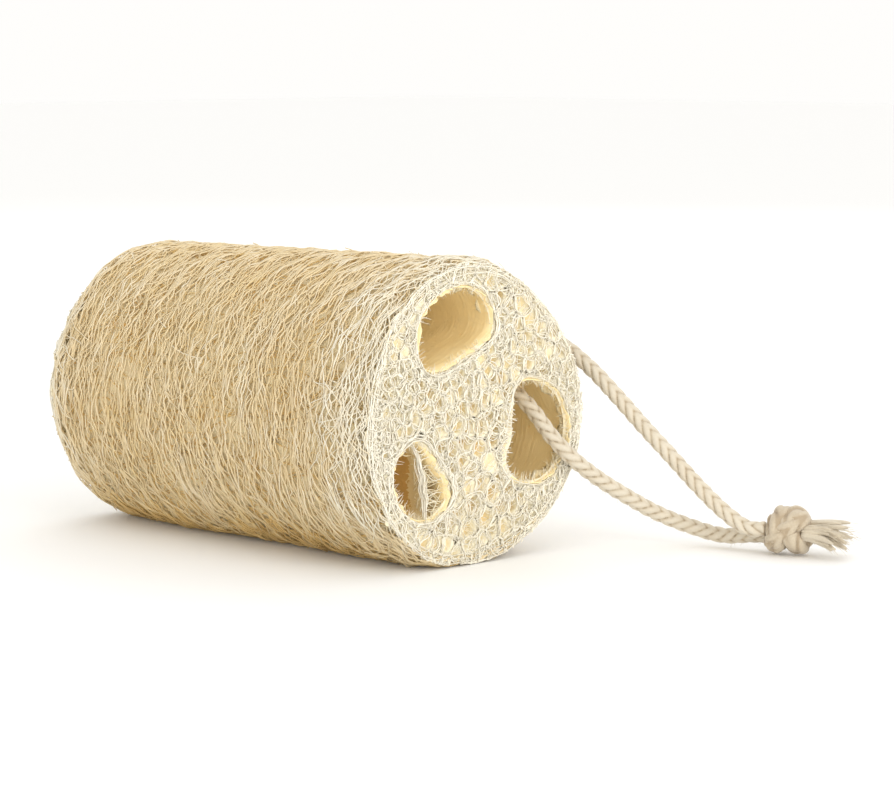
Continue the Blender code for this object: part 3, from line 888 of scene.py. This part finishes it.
def partition_fibres(face, tubes, mouth, t, line, ragged):
    """Fibres along the front edge of a channel's partition, and from it to the channel's far side."""
    draw = draws(SEED_PARTITION)
    for _ in range(PARTITION_EDGE_FIBRES):
        sway = draw.normal(0, 0.5) * np.sin(math.pi * t)
        sway = sway + 0.18 * np.sin(draw.uniform(5, 16) * t + draw.uniform(0, 6))
        flat = line + np.column_stack([sway * MM, np.zeros_like(t)])
        edge = 1.5 + 0.9 * np.sin(math.pi * t) * ragged
        sink = (edge + draw.uniform(-0.5, 1.0) + 0.3 * np.sin(draw.uniform(4, 14) * t)) * MM
        start = int(draw.integers(0, 14))
        stop = int(draw.integers(start + 6, 27))
        face.hang(tubes, flat[start:stop], sink[start:stop], draw.uniform(0.08, 0.16) * MM, -0.05)
    far_side = mouth[mouth[:, 0] > np.interp(-mouth[:, 1], -line[:, 1], line[:, 0])]
    for _ in range(PARTITION_SIDE_FIBRES):
        start = line[draw.integers(2, 24)]
        goal = start[1] + draw.normal(0, 2.6) * MM
        end = far_side[np.argmin(np.abs(far_side[:, 1] - goal))]
        path = bowed_line(draw, start, end, 7, 0.3)
        sink = draw.uniform(2.0, 6.5) * MM + 0.5 * MM * np.sin(np.linspace(0, 6, 7) + goal * 900)
        # Painted shade: deeper fibres are painted more golden.
        face.hang(tubes, path, sink, draw.uniform(0.12, 0.22) * MM, sink / (9 * MM) - 0.2)


def torn_flap(face, tubes, mouth, skin):
    """A ragged scrap of channel skin that stands out at one side of a mouth, with its fibres."""
    draw = draws(SEED_FLAP)
    heading = unit(mouth - mouth.mean(axis=0))
    nearest = int(np.argmax(heading @ unit(np.array((-1.0, -0.12)))))
    places = (nearest + np.arange(-FLAP_REACH, FLAP_REACH + 1)) % len(mouth)
    root, inward = mouth[places], -heading[places]
    share = np.linspace(0, 1, len(places))
    swell = np.sin(math.pi * share)
    width = (0.5 + 1.7 * swell * draw.uniform(0.15, 1.0, len(places))) * MM
    levels = np.linspace(0, 1, 6)
    rows = []
    for level in levels:
        flat = root + inward * (width * level - 1.2 * MM * (1 - level))[:, None]
        lift = (1.3 * level - 0.5 + 0.3 * np.sin(9 * share + 3 * level)) * swell
        rows.append(clear_of_cord(face.points(flat, -lift * MM), FLAP_CLEARANCE))
    for _ in range(FLAP_FIBRES):
        k = int(draw.integers(1, len(places) - 1))
        side = 0.4 * draw.normal() * np.array((-inward[k, 1], inward[k, 0]))
        out = np.linspace(-1.5, 0.6 + 1.2 * swell[k] * draw.random(), 6) * MM
        line = root[k] + 0.6 * MM * draw.normal(0, 1, 2) + np.outer(out, inward[k] + side)
        sink = -np.linspace(0.1, draw.uniform(0.3, 1.6) * swell[k] + 0.1, 6) * MM
        face.hang(tubes, line, sink, draw.uniform(0.09, 0.18) * MM, -0.25)
    front = np.array(rows)
    back = front - np.array((face.side * 0.25 * MM, 0.0, 0.0))
    # Painted shade: the flap is painted darker at its root, which lies deeper, and paler where it stands out.
    return make_sheet("torn_flap", front, back, 0.3 - 0.4 * levels, skin)


def build_face(face, end, seed, fibre, skin, rich):
    """One cut face, as pieces. rich, from 0 to 1, is how full of fibres it is."""
    points, cells = face_cells(face, seed)
    pieces = [cell_funnels(face, "face_cells_" + end, seed + 1, cells, skin)]
    for number, mouth in enumerate(face.mouths, 1):
        pieces.append(mouth_collar(face, f"mouth_collar_{end}_{number}", mouth, skin))
    loops = Tubes()
    cell_loops(face, loops, seed + 2, cells, LOOP_SINKS[: round(len(LOOP_SINKS) * rich)])
    pieces.append(loops.make("face_loops_" + end, fibre))
    web = Tubes()
    cell_web(face, web, seed + 3, points, round(WEB_FIBRES * rich))
    face_hairs(face, web, seed + 4, round(FACE_HAIRS * rich))
    lip_rings(face, web, seed + 5, rich)
    mouth_teeth(face, web, seed + 6, round(MOUTH_TEETH * rich))
    if end == "front":
        pieces.append(channel_partition(face, web, face.mouths[1], skin))
        pieces.append(torn_flap(face, web, face.mouths[2], skin))
    pieces.append(web.make("face_web_" + end, fibre))
    return pieces


# Body under the net, and the channels' linings


def rim_gap(outline, places):
    """How far (y, z) places lie inside the cut face's outline."""
    edge, away = outline - AXIS_PLACE, places - AXIS_PLACE
    turns = np.arctan2(edge[:, 1], edge[:, 0])
    order = np.argsort(turns)
    reach = np.linalg.norm(edge, axis=1)[order]
    reach = np.interp(np.arctan2(away[:, 1], away[:, 0]), turns[order], reach, period=math.tau)
    return reach - np.linalg.norm(away, axis=1)


def finer_copy(name, node):
    """An object from a welded and evenly subdivided copy of a node's mesh."""
    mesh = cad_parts[node].data.copy()
    mesh.materials.clear()
    obj = link(name, mesh)
    obj.modifiers.new("weld", "WELD").merge_threshold = WELD_GAP
    finer = obj.modifiers.new("finer", "SUBSURF")
    finer.subdivision_type = "SIMPLE"
    finer.levels = finer.render_levels = 1
    made = bpy.data.meshes.new_from_object(obj.evaluated_get(bpy.context.evaluated_depsgraph_get()))
    obj.modifiers.clear()
    obj.data = made
    bpy.data.meshes.remove(mesh)
    return obj


def build_body(wall, material):
    """The golden inner tissue: the frame's solid, drawn in under the net and roughened."""
    obj = finer_copy("inner_tissue", "loofah_sponge")
    mesh = obj.data
    count = len(mesh.vertices)
    places, normals = np.empty(count * 3), np.empty(count * 3)
    mesh.vertices.foreach_get("co", places)
    mesh.vertex_normals.foreach_get("vector", normals)
    places, normals = places.reshape(-1, 3), normals.reshape(-1, 3)
    looser = np.clip((-places[:, :1] - LOOSER_FROM) / BACK_LENGTH, 0, 1)
    rough = draws(SEED_BODY).uniform(-0.25, 0.25, (count, 1))
    places -= normals * (BODY_DEPTH + 0.8 * MM * looser + rough * MM)
    for side, edge in ((1, SPONGE_HIGH[0]), (-1, SPONGE_LOW[0])):
        share = np.clip((side * places[:, 0] - (side * edge - FACE_EASE)) / FACE_EASE, 0, 1)
        gap = rim_gap(wall.edges[side][:, 1:], places[:, 1:])
        places[:, 0] -= side * FACE_DEPTH * np.clip((gap - 1 * MM) / (6 * MM), 0.15, 1) * share
    places[:, 2] = np.maximum(places[:, 2], BODY_LOW)
    mesh.vertices.foreach_set("co", places.ravel())
    mesh.update()
    mesh.shade_smooth()
    mesh.materials.append(material)
    return obj


def make_shell(name, front, back, grid, rims, material, depth=None):
    """A thin shell between two layers of places. grid numbers the corners of the front one."""
    corners = [grid[:-1, :-1], grid[1:, :-1], grid[1:, 1:], grid[:-1, 1:]]
    faces = np.stack(corners, axis=-1).reshape(-1, 4)
    verts = np.concatenate([front.reshape(-1, 3), back.reshape(-1, 3)])
    quads = np.concatenate([faces, faces[:, ::-1] + len(verts) // 2, *rims])
    return make_object(name, material, verts, quads, depth=depth)


def make_sheet(name, front, back, depth, material):
    """A thin sheet closed round its border, with a depth value for each row."""
    grid = np.arange(front.shape[0] * front.shape[1]).reshape(front.shape[:2])
    border = np.concatenate([grid[0], grid[1:, -1], grid[-1, -2::-1], grid[-2:0:-1, 0]])
    following = np.roll(border, -1)
    rim = np.stack([border, following, following + grid.size, border + grid.size], axis=1)
    return make_shell(name, front, back, grid, [rim], material, np.tile(np.repeat(depth, grid.shape[1]), 2))


def build_lining(tree, channel, material):
    """The smooth pale skin of one seed channel, a thin open tube with ragged ends."""
    seed = SEED_LINING + channel
    draw = draws(seed)
    ragged = [soft_field(seed + 10 + k, 20 * MM, 40) for k in range(2)]
    rough = soft_field(seed + 20, 6 * MM, 24)
    turns = circle(CHANNEL_ANGLES)[0]
    low, high = SPONGE_LOW[0], SPONGE_HIGH[0]
    rings = []
    for i, x in enumerate(np.linspace(low + 2.2 * MM, high - 1.8 * MM, CHANNEL_STATIONS)):
        outline = channel_outline(tree, channel, min(max(x, low + MOUTH_DEPTH), high - MOUTH_DEPTH))
        gap = -0.25 * MM + 0.3 * MM * rough(x + 80 * MM, turns)[:, None]
        place = np.full(CHANNEL_ANGLES, x)
        if i in (0, CHANNEL_STATIONS - 1):
            torn = draw.uniform(-0.7, 0.7, CHANNEL_ANGLES) * MM
            place = place + (1.3 * MM * ragged[min(i, 1)](0.0, turns) + torn)
        rings.append(np.column_stack([place, grow_outline(blur(outline, 2, True), gap)]))
    inner = np.array(rings)
    outer = inner.copy()
    outer[..., 1:] += LINING_THICK * unit(inner[..., 1:] - inner[..., 1:].mean(axis=1, keepdims=True))
    size = CHANNEL_STATIONS * CHANNEL_ANGLES
    grid = np.arange(size).reshape(CHANNEL_STATIONS, CHANNEL_ANGLES)
    grid = np.column_stack([grid, grid[:, 0]])
    a, b, c, d = grid[0, :-1], grid[0, 1:], grid[-1, :-1], grid[-1, 1:]
    rims = [np.stack(corners, axis=1) for corners in ((a, b, b + size, a + size), (c, c + size, d + size, d))]
    return make_shell(f"channel_lining_{channel + 1}", inner, outer, grid, rims, material)


# Cord


def knot_axes():
    along = np.array((math.cos(KNOT_HEADING), math.sin(KNOT_HEADING), 0.0))
    return along, np.array((-along[1], along[0], 0.0)), np.array((0.0, 0.0, 1.0))


def cord_route():
    along, left, up = knot_axes()
    leads = []
    for aside, above in CORD_SEATS_MM:
        start = KNOT_CENTRE - along * (KNOT_HALF_LENGTH + SEAT_GAP) + (left * aside + up * above) * MM
        leads.append((start, start - along * CORD_LEAD_MM * MM))
    middle = [np.array(p) * MM for p in CORD_ROUTE_MM]
    return [*leads[0], *middle, leads[1][1], leads[1][0]]


def smooth_line(points, step):
    """Even points along a smooth curve through the given ones."""
    given = [2 * points[0] - points[1], *points, 2 * points[-1] - points[-2]]
    t = np.linspace(0, 1, 20, endpoint=False)[:, None]
    fine = []
    for p, a, b, n in zip(given, given[1:], given[2:], given[3:]):
        cubic = (3 * a - p - 3 * b + n) * t**3 + (2 * p - 5 * a + 4 * b - n) * t**2
        fine.append(0.5 * (2 * a + (b - p) * t + cubic))
    fine = np.concatenate([*fine, points[-1][None]])
    along = np.concatenate([[0], np.cumsum(step_lengths(fine))])
    even = np.linspace(0, along[-1], max(3, round(along[-1] / step) + 1))
    return np.stack([np.interp(even, along, fine[:, k]) for k in range(3)], axis=1)


def steady_frames(path):
    """Side and up directions along a path that never twist suddenly."""
    heading = unit(np.gradient(path, axis=0))
    side = np.empty_like(path)
    first = np.cross(heading[0], (0.0, 0.0, 1.0))
    side[0] = unit(first if np.linalg.norm(first) > 1e-6 else np.array((1.0, 0.0, 0.0)))
    for i in range(1, len(path)):
        side[i] = unit(side[i - 1] - heading[i] * (side[i - 1] @ heading[i]))
    return side, np.cross(heading, side)


def braid_radius(along, turn, scale):
    """Surface of a round braid: flat strands of two hands, each over two and under two in turn."""
    best = np.full(np.broadcast(along, turn).shape, BRAID_FLOOR)
    half = STRANDS // 2
    spin = math.tau * along / (STRAND_TURN * scale)
    for hand in (1, -1):
        over = hand * np.tanh(2.2 * np.cos(half / 2 * turn))
        for k in range(half):
            middle = hand * spin + math.tau * k / half
            away = np.remainder(turn - middle + math.pi, math.tau) - math.pi
            bulge = 1 - (away * CORD_DIAMETER / 2 / STRAND_HALF_WIDTH) ** 2
            reach = STRAND_CENTRE + STRAND_WEAVE * over + STRAND_HEIGHT * np.sqrt(np.maximum(bulge, 0))
            best = np.maximum(best, np.where(bulge > 0, reach, 0))
    return best * scale


def braided_tube(name, path, scale, material, shade=0.0):
    """A cotton cord along path with its braid in relief. Its depth value is high in the crevices, which
    paints them beige as painted shade; shade paints the whole tube darker, also painted shade.
    """
    along = np.concatenate([[0], np.cumsum(step_lengths(path))])
    turn, directions = circle(BRAID_SIDES)
    reach = braid_radius(along[:, None], turn[None, :], scale)
    reach[[0, -1]] *= 0.9
    verts = (path[:, None] + reach[..., None] * spokes(*steady_frames(path), directions)).reshape(-1, 3)
    k, n = np.arange(BRAID_SIDES), (np.arange(BRAID_SIDES) + 1) % BRAID_SIDES
    tips = np.full((2, BRAID_SIDES), len(verts)) + np.array(((0,), (1,)))
    last = len(verts) - BRAID_SIDES
    caps = [np.stack([tips[0], n, k], axis=1), np.stack([tips[1], last + k, last + n], axis=1)]
    hollow = np.clip((2.5 * MM * scale - reach.ravel()) / (0.8 * MM * scale), 0, 1) ** 1.5
    depth = np.concatenate([hollow, [0.5, 0.5]]) + shade
    verts = np.concatenate([verts, path[:1], path[-1:]])
    quads = ring_quads(len(path), BRAID_SIDES)
    return make_object(name, material, verts, quads, np.concatenate(caps), depth)


def cord_fuzz(paths, name, per_metre, seed, material, radius=2.35 * MM, shade=0.0):
    """Short fine cotton hairs that stand off a cord."""
    draw = draws(seed)
    tubes = Tubes()
    share = np.linspace(0, 1, 5)[:, None]
    for path in paths:
        side, up = steady_frames(path)
        for _ in range(int(per_metre * step_lengths(path).sum())):
            i = int(draw.integers(1, len(path) - 1))
            turn = draw.uniform(0, math.tau)
            out = side[i] * math.cos(turn) + up[i] * math.sin(turn)
            along = unit(path[i + 1] - path[i - 1])
            lean = out * draw.uniform(0.15, 0.8) + along * draw.uniform(-1, 1)
            lean = unit(lean + np.cross(out, along) * draw.normal(0, 0.5))
            size = draw.uniform(0.7, 2.1) * MM
            curl = out * draw.uniform(-0.5, 0.3)
            hair = path[i] + out * radius * 0.93 + lean * share * size + curl * share**2 * size
            hair[:, 2] = np.maximum(hair[:, 2], FUZZ_LOW)
            tubes.add(hair, FUZZ_RADIUS, np.broadcast_to(out + 0.01, hair.shape), shade)
    return tubes.make(name, material)


def knot_paths():
    """Middle lines of the knot's two wraps and its crossing bight, in its own axes: along, left, up."""
    turns = np.linspace(0, 1, 60)
    reach = 4.2 * MM
    paths = []
    for shift, start in ((-2.7 * MM, 0.0), (2.7 * MM, math.pi)):
        angle = start + math.tau * 1.02 * turns
        along = shift + 1.2 * MM * np.sin(angle - start - 0.6)
        paths.append(np.stack([along, reach * np.cos(angle), reach * np.sin(angle)], axis=1))
    over = math.pi * np.linspace(-0.62, 0.62, 26)
    forward = 4.4 * MM * np.sin(over * 0.9)
    paths.append(np.stack([forward, -5.2 * MM * np.cos(over * 0.75), 3.6 * MM * np.sin(over)], axis=1))
    return paths


def build_knot(material):
    """A tight knot of the doubled cord: two wraps and the bight that crosses them, round a full core."""
    along, left, up = knot_axes()
    pieces = []
    world = []
    for index, local in enumerate(knot_paths()):
        path = KNOT_CENTRE + local[:, :1] * along + local[:, 1:2] * left + local[:, 2:] * up
        path = smooth_line(list(path[:: max(1, len(path) // 16)]), 0.35 * MM)
        world.append(path)
        pieces.append(braided_tube(f"knot_wrap_{index + 1}", path, KNOT_SCALES[index], material, KNOT_SHADE))
    core_line = KNOT_CENTRE + np.outer(np.linspace(-6.4, 6.6, 40) * MM, along)
    pieces.append(braided_tube("knot_core", core_line, KNOT_CORE_SCALE, material, KNOT_SHADE))
    return pieces, world


def tail_line(side):
    """The middle line of one frayed end, as the part has it."""
    along, left, up = knot_axes()
    start = KNOT_CENTRE + along * (KNOT_HALF_LENGTH - 0.5 * MM) + left * side * TAIL_OFFSET
    heading = along * math.cos(TAIL_SPLAY) + left * side * math.sin(TAIL_SPLAY)
    share = np.linspace(0, 1, 12)[:, None]
    bend = share**1.5
    run = share * (TAIL_LENGTH + 0.8 * MM)
    line = along * (1 - bend) + heading * bend
    return start + line * run - up * run * math.tan(TAIL_DROOP) * bend


def build_tail(side, name, seed, material):
    """A frayed end: yarns that part from each other, and the fine fibres that they open into."""
    draw = draws(seed)
    tubes = Tubes(sides=5)
    line = tail_line(side)
    across, up = steady_frames(line)
    share = np.linspace(0, 1, len(line))
    for k in range(TAIL_YARNS + TAIL_HAIRS):
        yarn = k < TAIL_YARNS
        turn = draw.uniform(0, math.tau) + draw.normal(0, 0.5) * share
        out = math.sqrt(draw.random())
        reach = (2.1 + (3.3 if yarn else 3.6) * share**1.2 * draw.uniform(0.6, 1.1)) * MM * out
        wave = draw.normal(0, 0.12) * MM * np.sin(draw.uniform(8, 20) * share + draw.uniform(0, 6))
        path = line + across * (reach * np.cos(turn) + wave)[:, None] + up * (reach * np.sin(turn))[:, None]
        stop = int(draw.integers(8, 12)) if yarn else int(draw.integers(7, len(line) + 1))
        path = path[:stop]
        path[:, 2] = np.maximum(path[:, 2], TAIL_LOW)
        radius = draw.uniform(0.85, 1.05) * MM if yarn else draw.uniform(0.05, 0.13) * MM
        radius = radius * np.sqrt(np.clip(1.1 - np.linspace(0, 1, stop) ** 3, 0.15, 1))
        # Painted shade: yarns and fibres nearer the middle of the end are painted darker.
        tubes.add(path, radius, np.broadcast_to((0.01, 0.02, 1.0), path.shape), 0.1 + 0.25 * (1 - out))
    return tubes.make(name, material)


# Materials


class Surface:
    """A procedural material in the making. Its methods add nodes and give their outputs."""

    def __init__(self, name):
        self.material = bpy.data.materials.new(name)
        self.material.use_nodes = True
        self.tree = self.material.node_tree
        self.shader = self.tree.nodes["Principled BSDF"]

    def add(self, kind, output, links=(), values=(), **settings):
        """One node with its settings, set inputs and linked inputs."""
        node = self.tree.nodes.new(kind)
        for key, value in settings.items():
            setattr(node, key, value)
        for key, value in dict(values).items():
            node.inputs[key].default_value = value
        for key, source in dict(links).items():
            self.tree.links.new(source, node.inputs[key])
        return node.outputs[output]

    def set(self, **values):
        """Sets plain numbers or colours on the shader, with _ for the spaces in an input's name."""
        for key, value in values.items():
            self.shader.inputs[key.replace("_", " ")].default_value = value

    def depth(self):
        return self.add("ShaderNodeAttribute", "Fac", attribute_name="depth")

    def place(self):
        return self.add("ShaderNodeTexCoord", "Object")

    def noise(self, scale, detail, roughness=0.6, stretch=(1, 1, 1)):
        place = self.add("ShaderNodeMapping", "Vector", {"Vector": self.place()}, {"Scale": stretch})
        values = {"Scale": scale, "Detail": detail, "Roughness": roughness}
        return self.add("ShaderNodeTexNoise", "Fac", {"Vector": place}, values)

    def pits(self, scale):
        distance = self.add("ShaderNodeTexVoronoi", "Distance", {"Vector": self.place()}, {"Scale": scale})
        return self.mapped(distance, 0.08, 0.28)

    def front_rise(self):
        """A value that rises from 0 well inside the sponge to 1 at its front face."""
        return self.mapped(self.add("ShaderNodeSeparateXYZ", "X", {"Vector": self.place()}), 30 * MM, 78 * MM)

    def mapped(self, source, start, end, low=0.0, high=1.0):
        """Source, taken from between start and end to between low and high."""
        values = {"From Min": start, "From Max": end, "To Min": low, "To Max": high}
        return self.add("ShaderNodeMapRange", "Result", {"Value": source}, values)

    def total(self, first, *more):
        """first, plus each further value times its share."""
        for value, share in more:
            links = {0: value, 2: first}
            first = self.add("ShaderNodeMath", "Value", links, {1: share}, operation="MULTIPLY_ADD")
        return first

    def colour(self, level, stops):
        ramp = self.tree.nodes.new("ShaderNodeValToRGB")
        elements = ramp.color_ramp.elements
        elements.remove(elements[1])
        elements[0].position = stops[0][0]
        elements[0].color = (*stops[0][1], 1)
        for place, tint in stops[1:]:
            elements.new(place).color = (*tint, 1)
        self.tree.links.new(level, ramp.inputs["Fac"])
        self.tree.links.new(ramp.outputs["Color"], self.shader.inputs["Base Color"])

    def rough(self, source, low, high):
        self.tree.links.new(self.mapped(source, 0.0, 1.0, low, high), self.shader.inputs["Roughness"])

    def bump(self, height, strength, distance):
        values = {"Strength": strength, "Distance": distance}
        normal = self.add("ShaderNodeBump", "Normal", {"Height": height}, values)
        self.tree.links.new(normal, self.shader.inputs["Normal"])


def fibre_material(name, stops):
    """Dry plant fibre: pale outside, with patches and streaks. It is painted darker and more golden where it
    lies deeper: painted shade.
    """
    surface = Surface(name)
    streaks = surface.noise(700, 2)
    level = surface.total(surface.depth(), (surface.noise(38, 3), 0.55), (streaks, 0.35))
    surface.colour(level, stops)
    surface.rough(streaks, 0.55, 0.8)
    surface.bump(streaks, 0.35, 0.0001)
    surface.set(Specular_IOR_Level=0.35)
    return surface.material


def membrane_material():
    """Thin plant skin in the cut face's cells: cream outside, painted more golden further in as painted
    shade.
    """
    surface = Surface("cell_skin")
    felt = surface.noise(900, 3)
    surface.colour(surface.total(surface.depth(), (felt, 0.3), (surface.noise(60, 3), 0.5)), MEMBRANE_STOPS)
    surface.rough(felt, 0.6, 0.85)
    surface.bump(felt, 0.5, 0.0003)
    return surface.material


def tissue_material():
    """Golden inner tissue: a dense felt of fibres seen between the outer ones, paler towards the front face.
    Its deep golden is partly the tissue's own colour and partly painted shade in the gaps.
    """
    surface = Surface("inner_tissue")
    felt = surface.noise(420, 5, 0.7)
    rings = surface.noise(260, 3, stretch=(2.4, 0.8, 0.8))
    patches = surface.noise(30, 3)
    level = surface.total(felt, (patches, 0.7), (rings, 0.6), (surface.front_rise(), 0.9))
    surface.colour(level, TISSUE_STOPS)
    surface.rough(felt, 0.7, 0.95)
    surface.bump(level, 0.9, 0.0012)
    return surface.material


def lining_material():
    """Smooth channel skin: pale yellow, with fine cross striations and small pits. The pits are painted
    darker: painted shade.
    """
    surface = Surface("channel_skin")
    striae = surface.noise(240, 3, 0.55, (4.5, 0.35, 0.35))
    level = surface.total(surface.noise(45, 3), (striae, 1.0), (surface.pits(330), 0.25))
    surface.colour(level, LINING_STOPS)
    surface.rough(striae, 0.45, 0.7)
    surface.bump(level, 0.6, 0.0005)
    return surface.material


def cotton_material():
    """Undyed cotton: off-white, painted beige in the crevices as painted shade, with fine twisted yarn."""
    surface = Surface("cotton")
    yarn = surface.noise(1500, 3)
    level = surface.total(surface.depth(), (yarn, 0.4), (surface.noise(90, 2, 0.5), 0.3))
    surface.colour(level, COTTON_STOPS)
    surface.rough(yarn, 0.8, 0.98)
    surface.bump(yarn, 0.5, 0.0002)
    surface.set(Sheen_Weight=0.3, Sheen_Roughness=0.5)
    return surface.material


def floor_material():
    surface = Surface("pale_floor")
    surface.set(Base_Color=FLOOR_COLOUR, Roughness=0.75)
    return surface.material


# Studio


def build_floor():
    """A wide pale floor under an even white sky."""
    corners = np.array([(-1, -1, 0), (1, -1, 0), (1, 1, 0), (-1, 1, 0)]) * FLOOR_HALF
    make_object("floor", floor_material(), corners, np.array([(0, 1, 2, 3)]))


def direction(azimuth, elevation):
    """Where something stands: in degrees round the object from its -Y side, and above the ground."""
    a, e = math.radians(azimuth), math.radians(elevation)
    return Vector((math.sin(a) * math.cos(e), -math.cos(a) * math.cos(e), math.sin(e)))


def aim(obj, place, target):
    obj.location = place
    obj.rotation_euler = (Vector(target) - place).to_track_quat("-Z", "Y").to_euler()


def build_lights():
    for name, azimuth, elevation, distance, size, power, colour in LIGHTS:
        light = bpy.data.lights.new(name, "AREA")
        light.shape = "DISK"
        light.size = size
        light.energy = power
        light.color = colour
        aim(link(name, light), direction(azimuth, elevation) * distance, LIGHT_TARGET)
    world = bpy.data.worlds.new("studio")
    world.use_nodes = True
    background = world.node_tree.nodes["Background"]
    background.inputs["Color"].default_value = SKY_COLOUR
    background.inputs["Strength"].default_value = 1.0
    bpy.context.scene.world = world


def build_camera():
    camera = link("camera", bpy.data.cameras.new("camera"))
    camera.data.lens = CAMERA_LENS
    camera.data.sensor_width = CAMERA_SENSOR
    back = direction(CAMERA_AZIMUTH, CAMERA_ELEVATION) * CAMERA_DISTANCE
    aim(camera, Vector(CAMERA_TARGET) + back, CAMERA_TARGET)
    bpy.context.scene.camera = camera


# The whole


def place_pieces(pieces, nodes):
    for piece in pieces:
        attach(piece, "root")
        if nodes:
            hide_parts(*nodes)


def build_cord(cotton):
    """The loop, its knot and its frayed ends."""
    cord = braided_tube("hanging_cord", CORD_PATH, 1.0, cotton)
    knot, knot_lines = build_knot(cotton)
    tails = [
        build_tail(1, "frayed_end_left", SEED_LEFT_END, cotton),
        build_tail(-1, "frayed_end_right", SEED_RIGHT_END, cotton),
    ]
    fuzz = cord_fuzz([CORD_PATH], "cord_fuzz", 2800, SEED_CORD_FUZZ, cotton)
    knot_fuzz = cord_fuzz(knot_lines, "knot_fuzz", 5200, SEED_KNOT_FUZZ, cotton, 2.7 * MM, KNOT_SHADE)
    place_pieces([cord], ["cord_loop"])
    place_pieces(knot, ["cord_knot"])
    place_pieces(tails[:1], ["cord_end_left"])
    place_pieces(tails[1:], ["cord_end_right"])
    place_pieces([fuzz, knot_fuzz], [])


def build_sponge():
    tree = frame_tree("loofah_sponge")
    wall = Wall(tree)
    web, membrane, lining = fibre_material("web_fibre", WEB_STOPS), membrane_material(), lining_material()
    pieces = build_skin(wall, fibre_material("skin_fibre", SKIN_STOPS))
    pieces.append(build_body(wall, tissue_material()))
    pieces += [build_lining(tree, k, lining) for k in range(len(CHANNEL_MIDDLES))]
    pieces += build_face(Face(wall, tree, 1), "front", SEED_FRONT_FACE, web, membrane, 1.0)
    pieces += build_face(Face(wall, tree, -1), "back", SEED_BACK_FACE, web, membrane, 0.6)
    place_pieces(pieces, ["loofah_sponge"])


CORD_PATH = smooth_line(cord_route(), CORD_STEP)
bpy.context.scene.view_settings.view_transform = "Standard"
build_camera()
build_cord(cotton_material())
build_sponge()
build_floor()
build_lights()
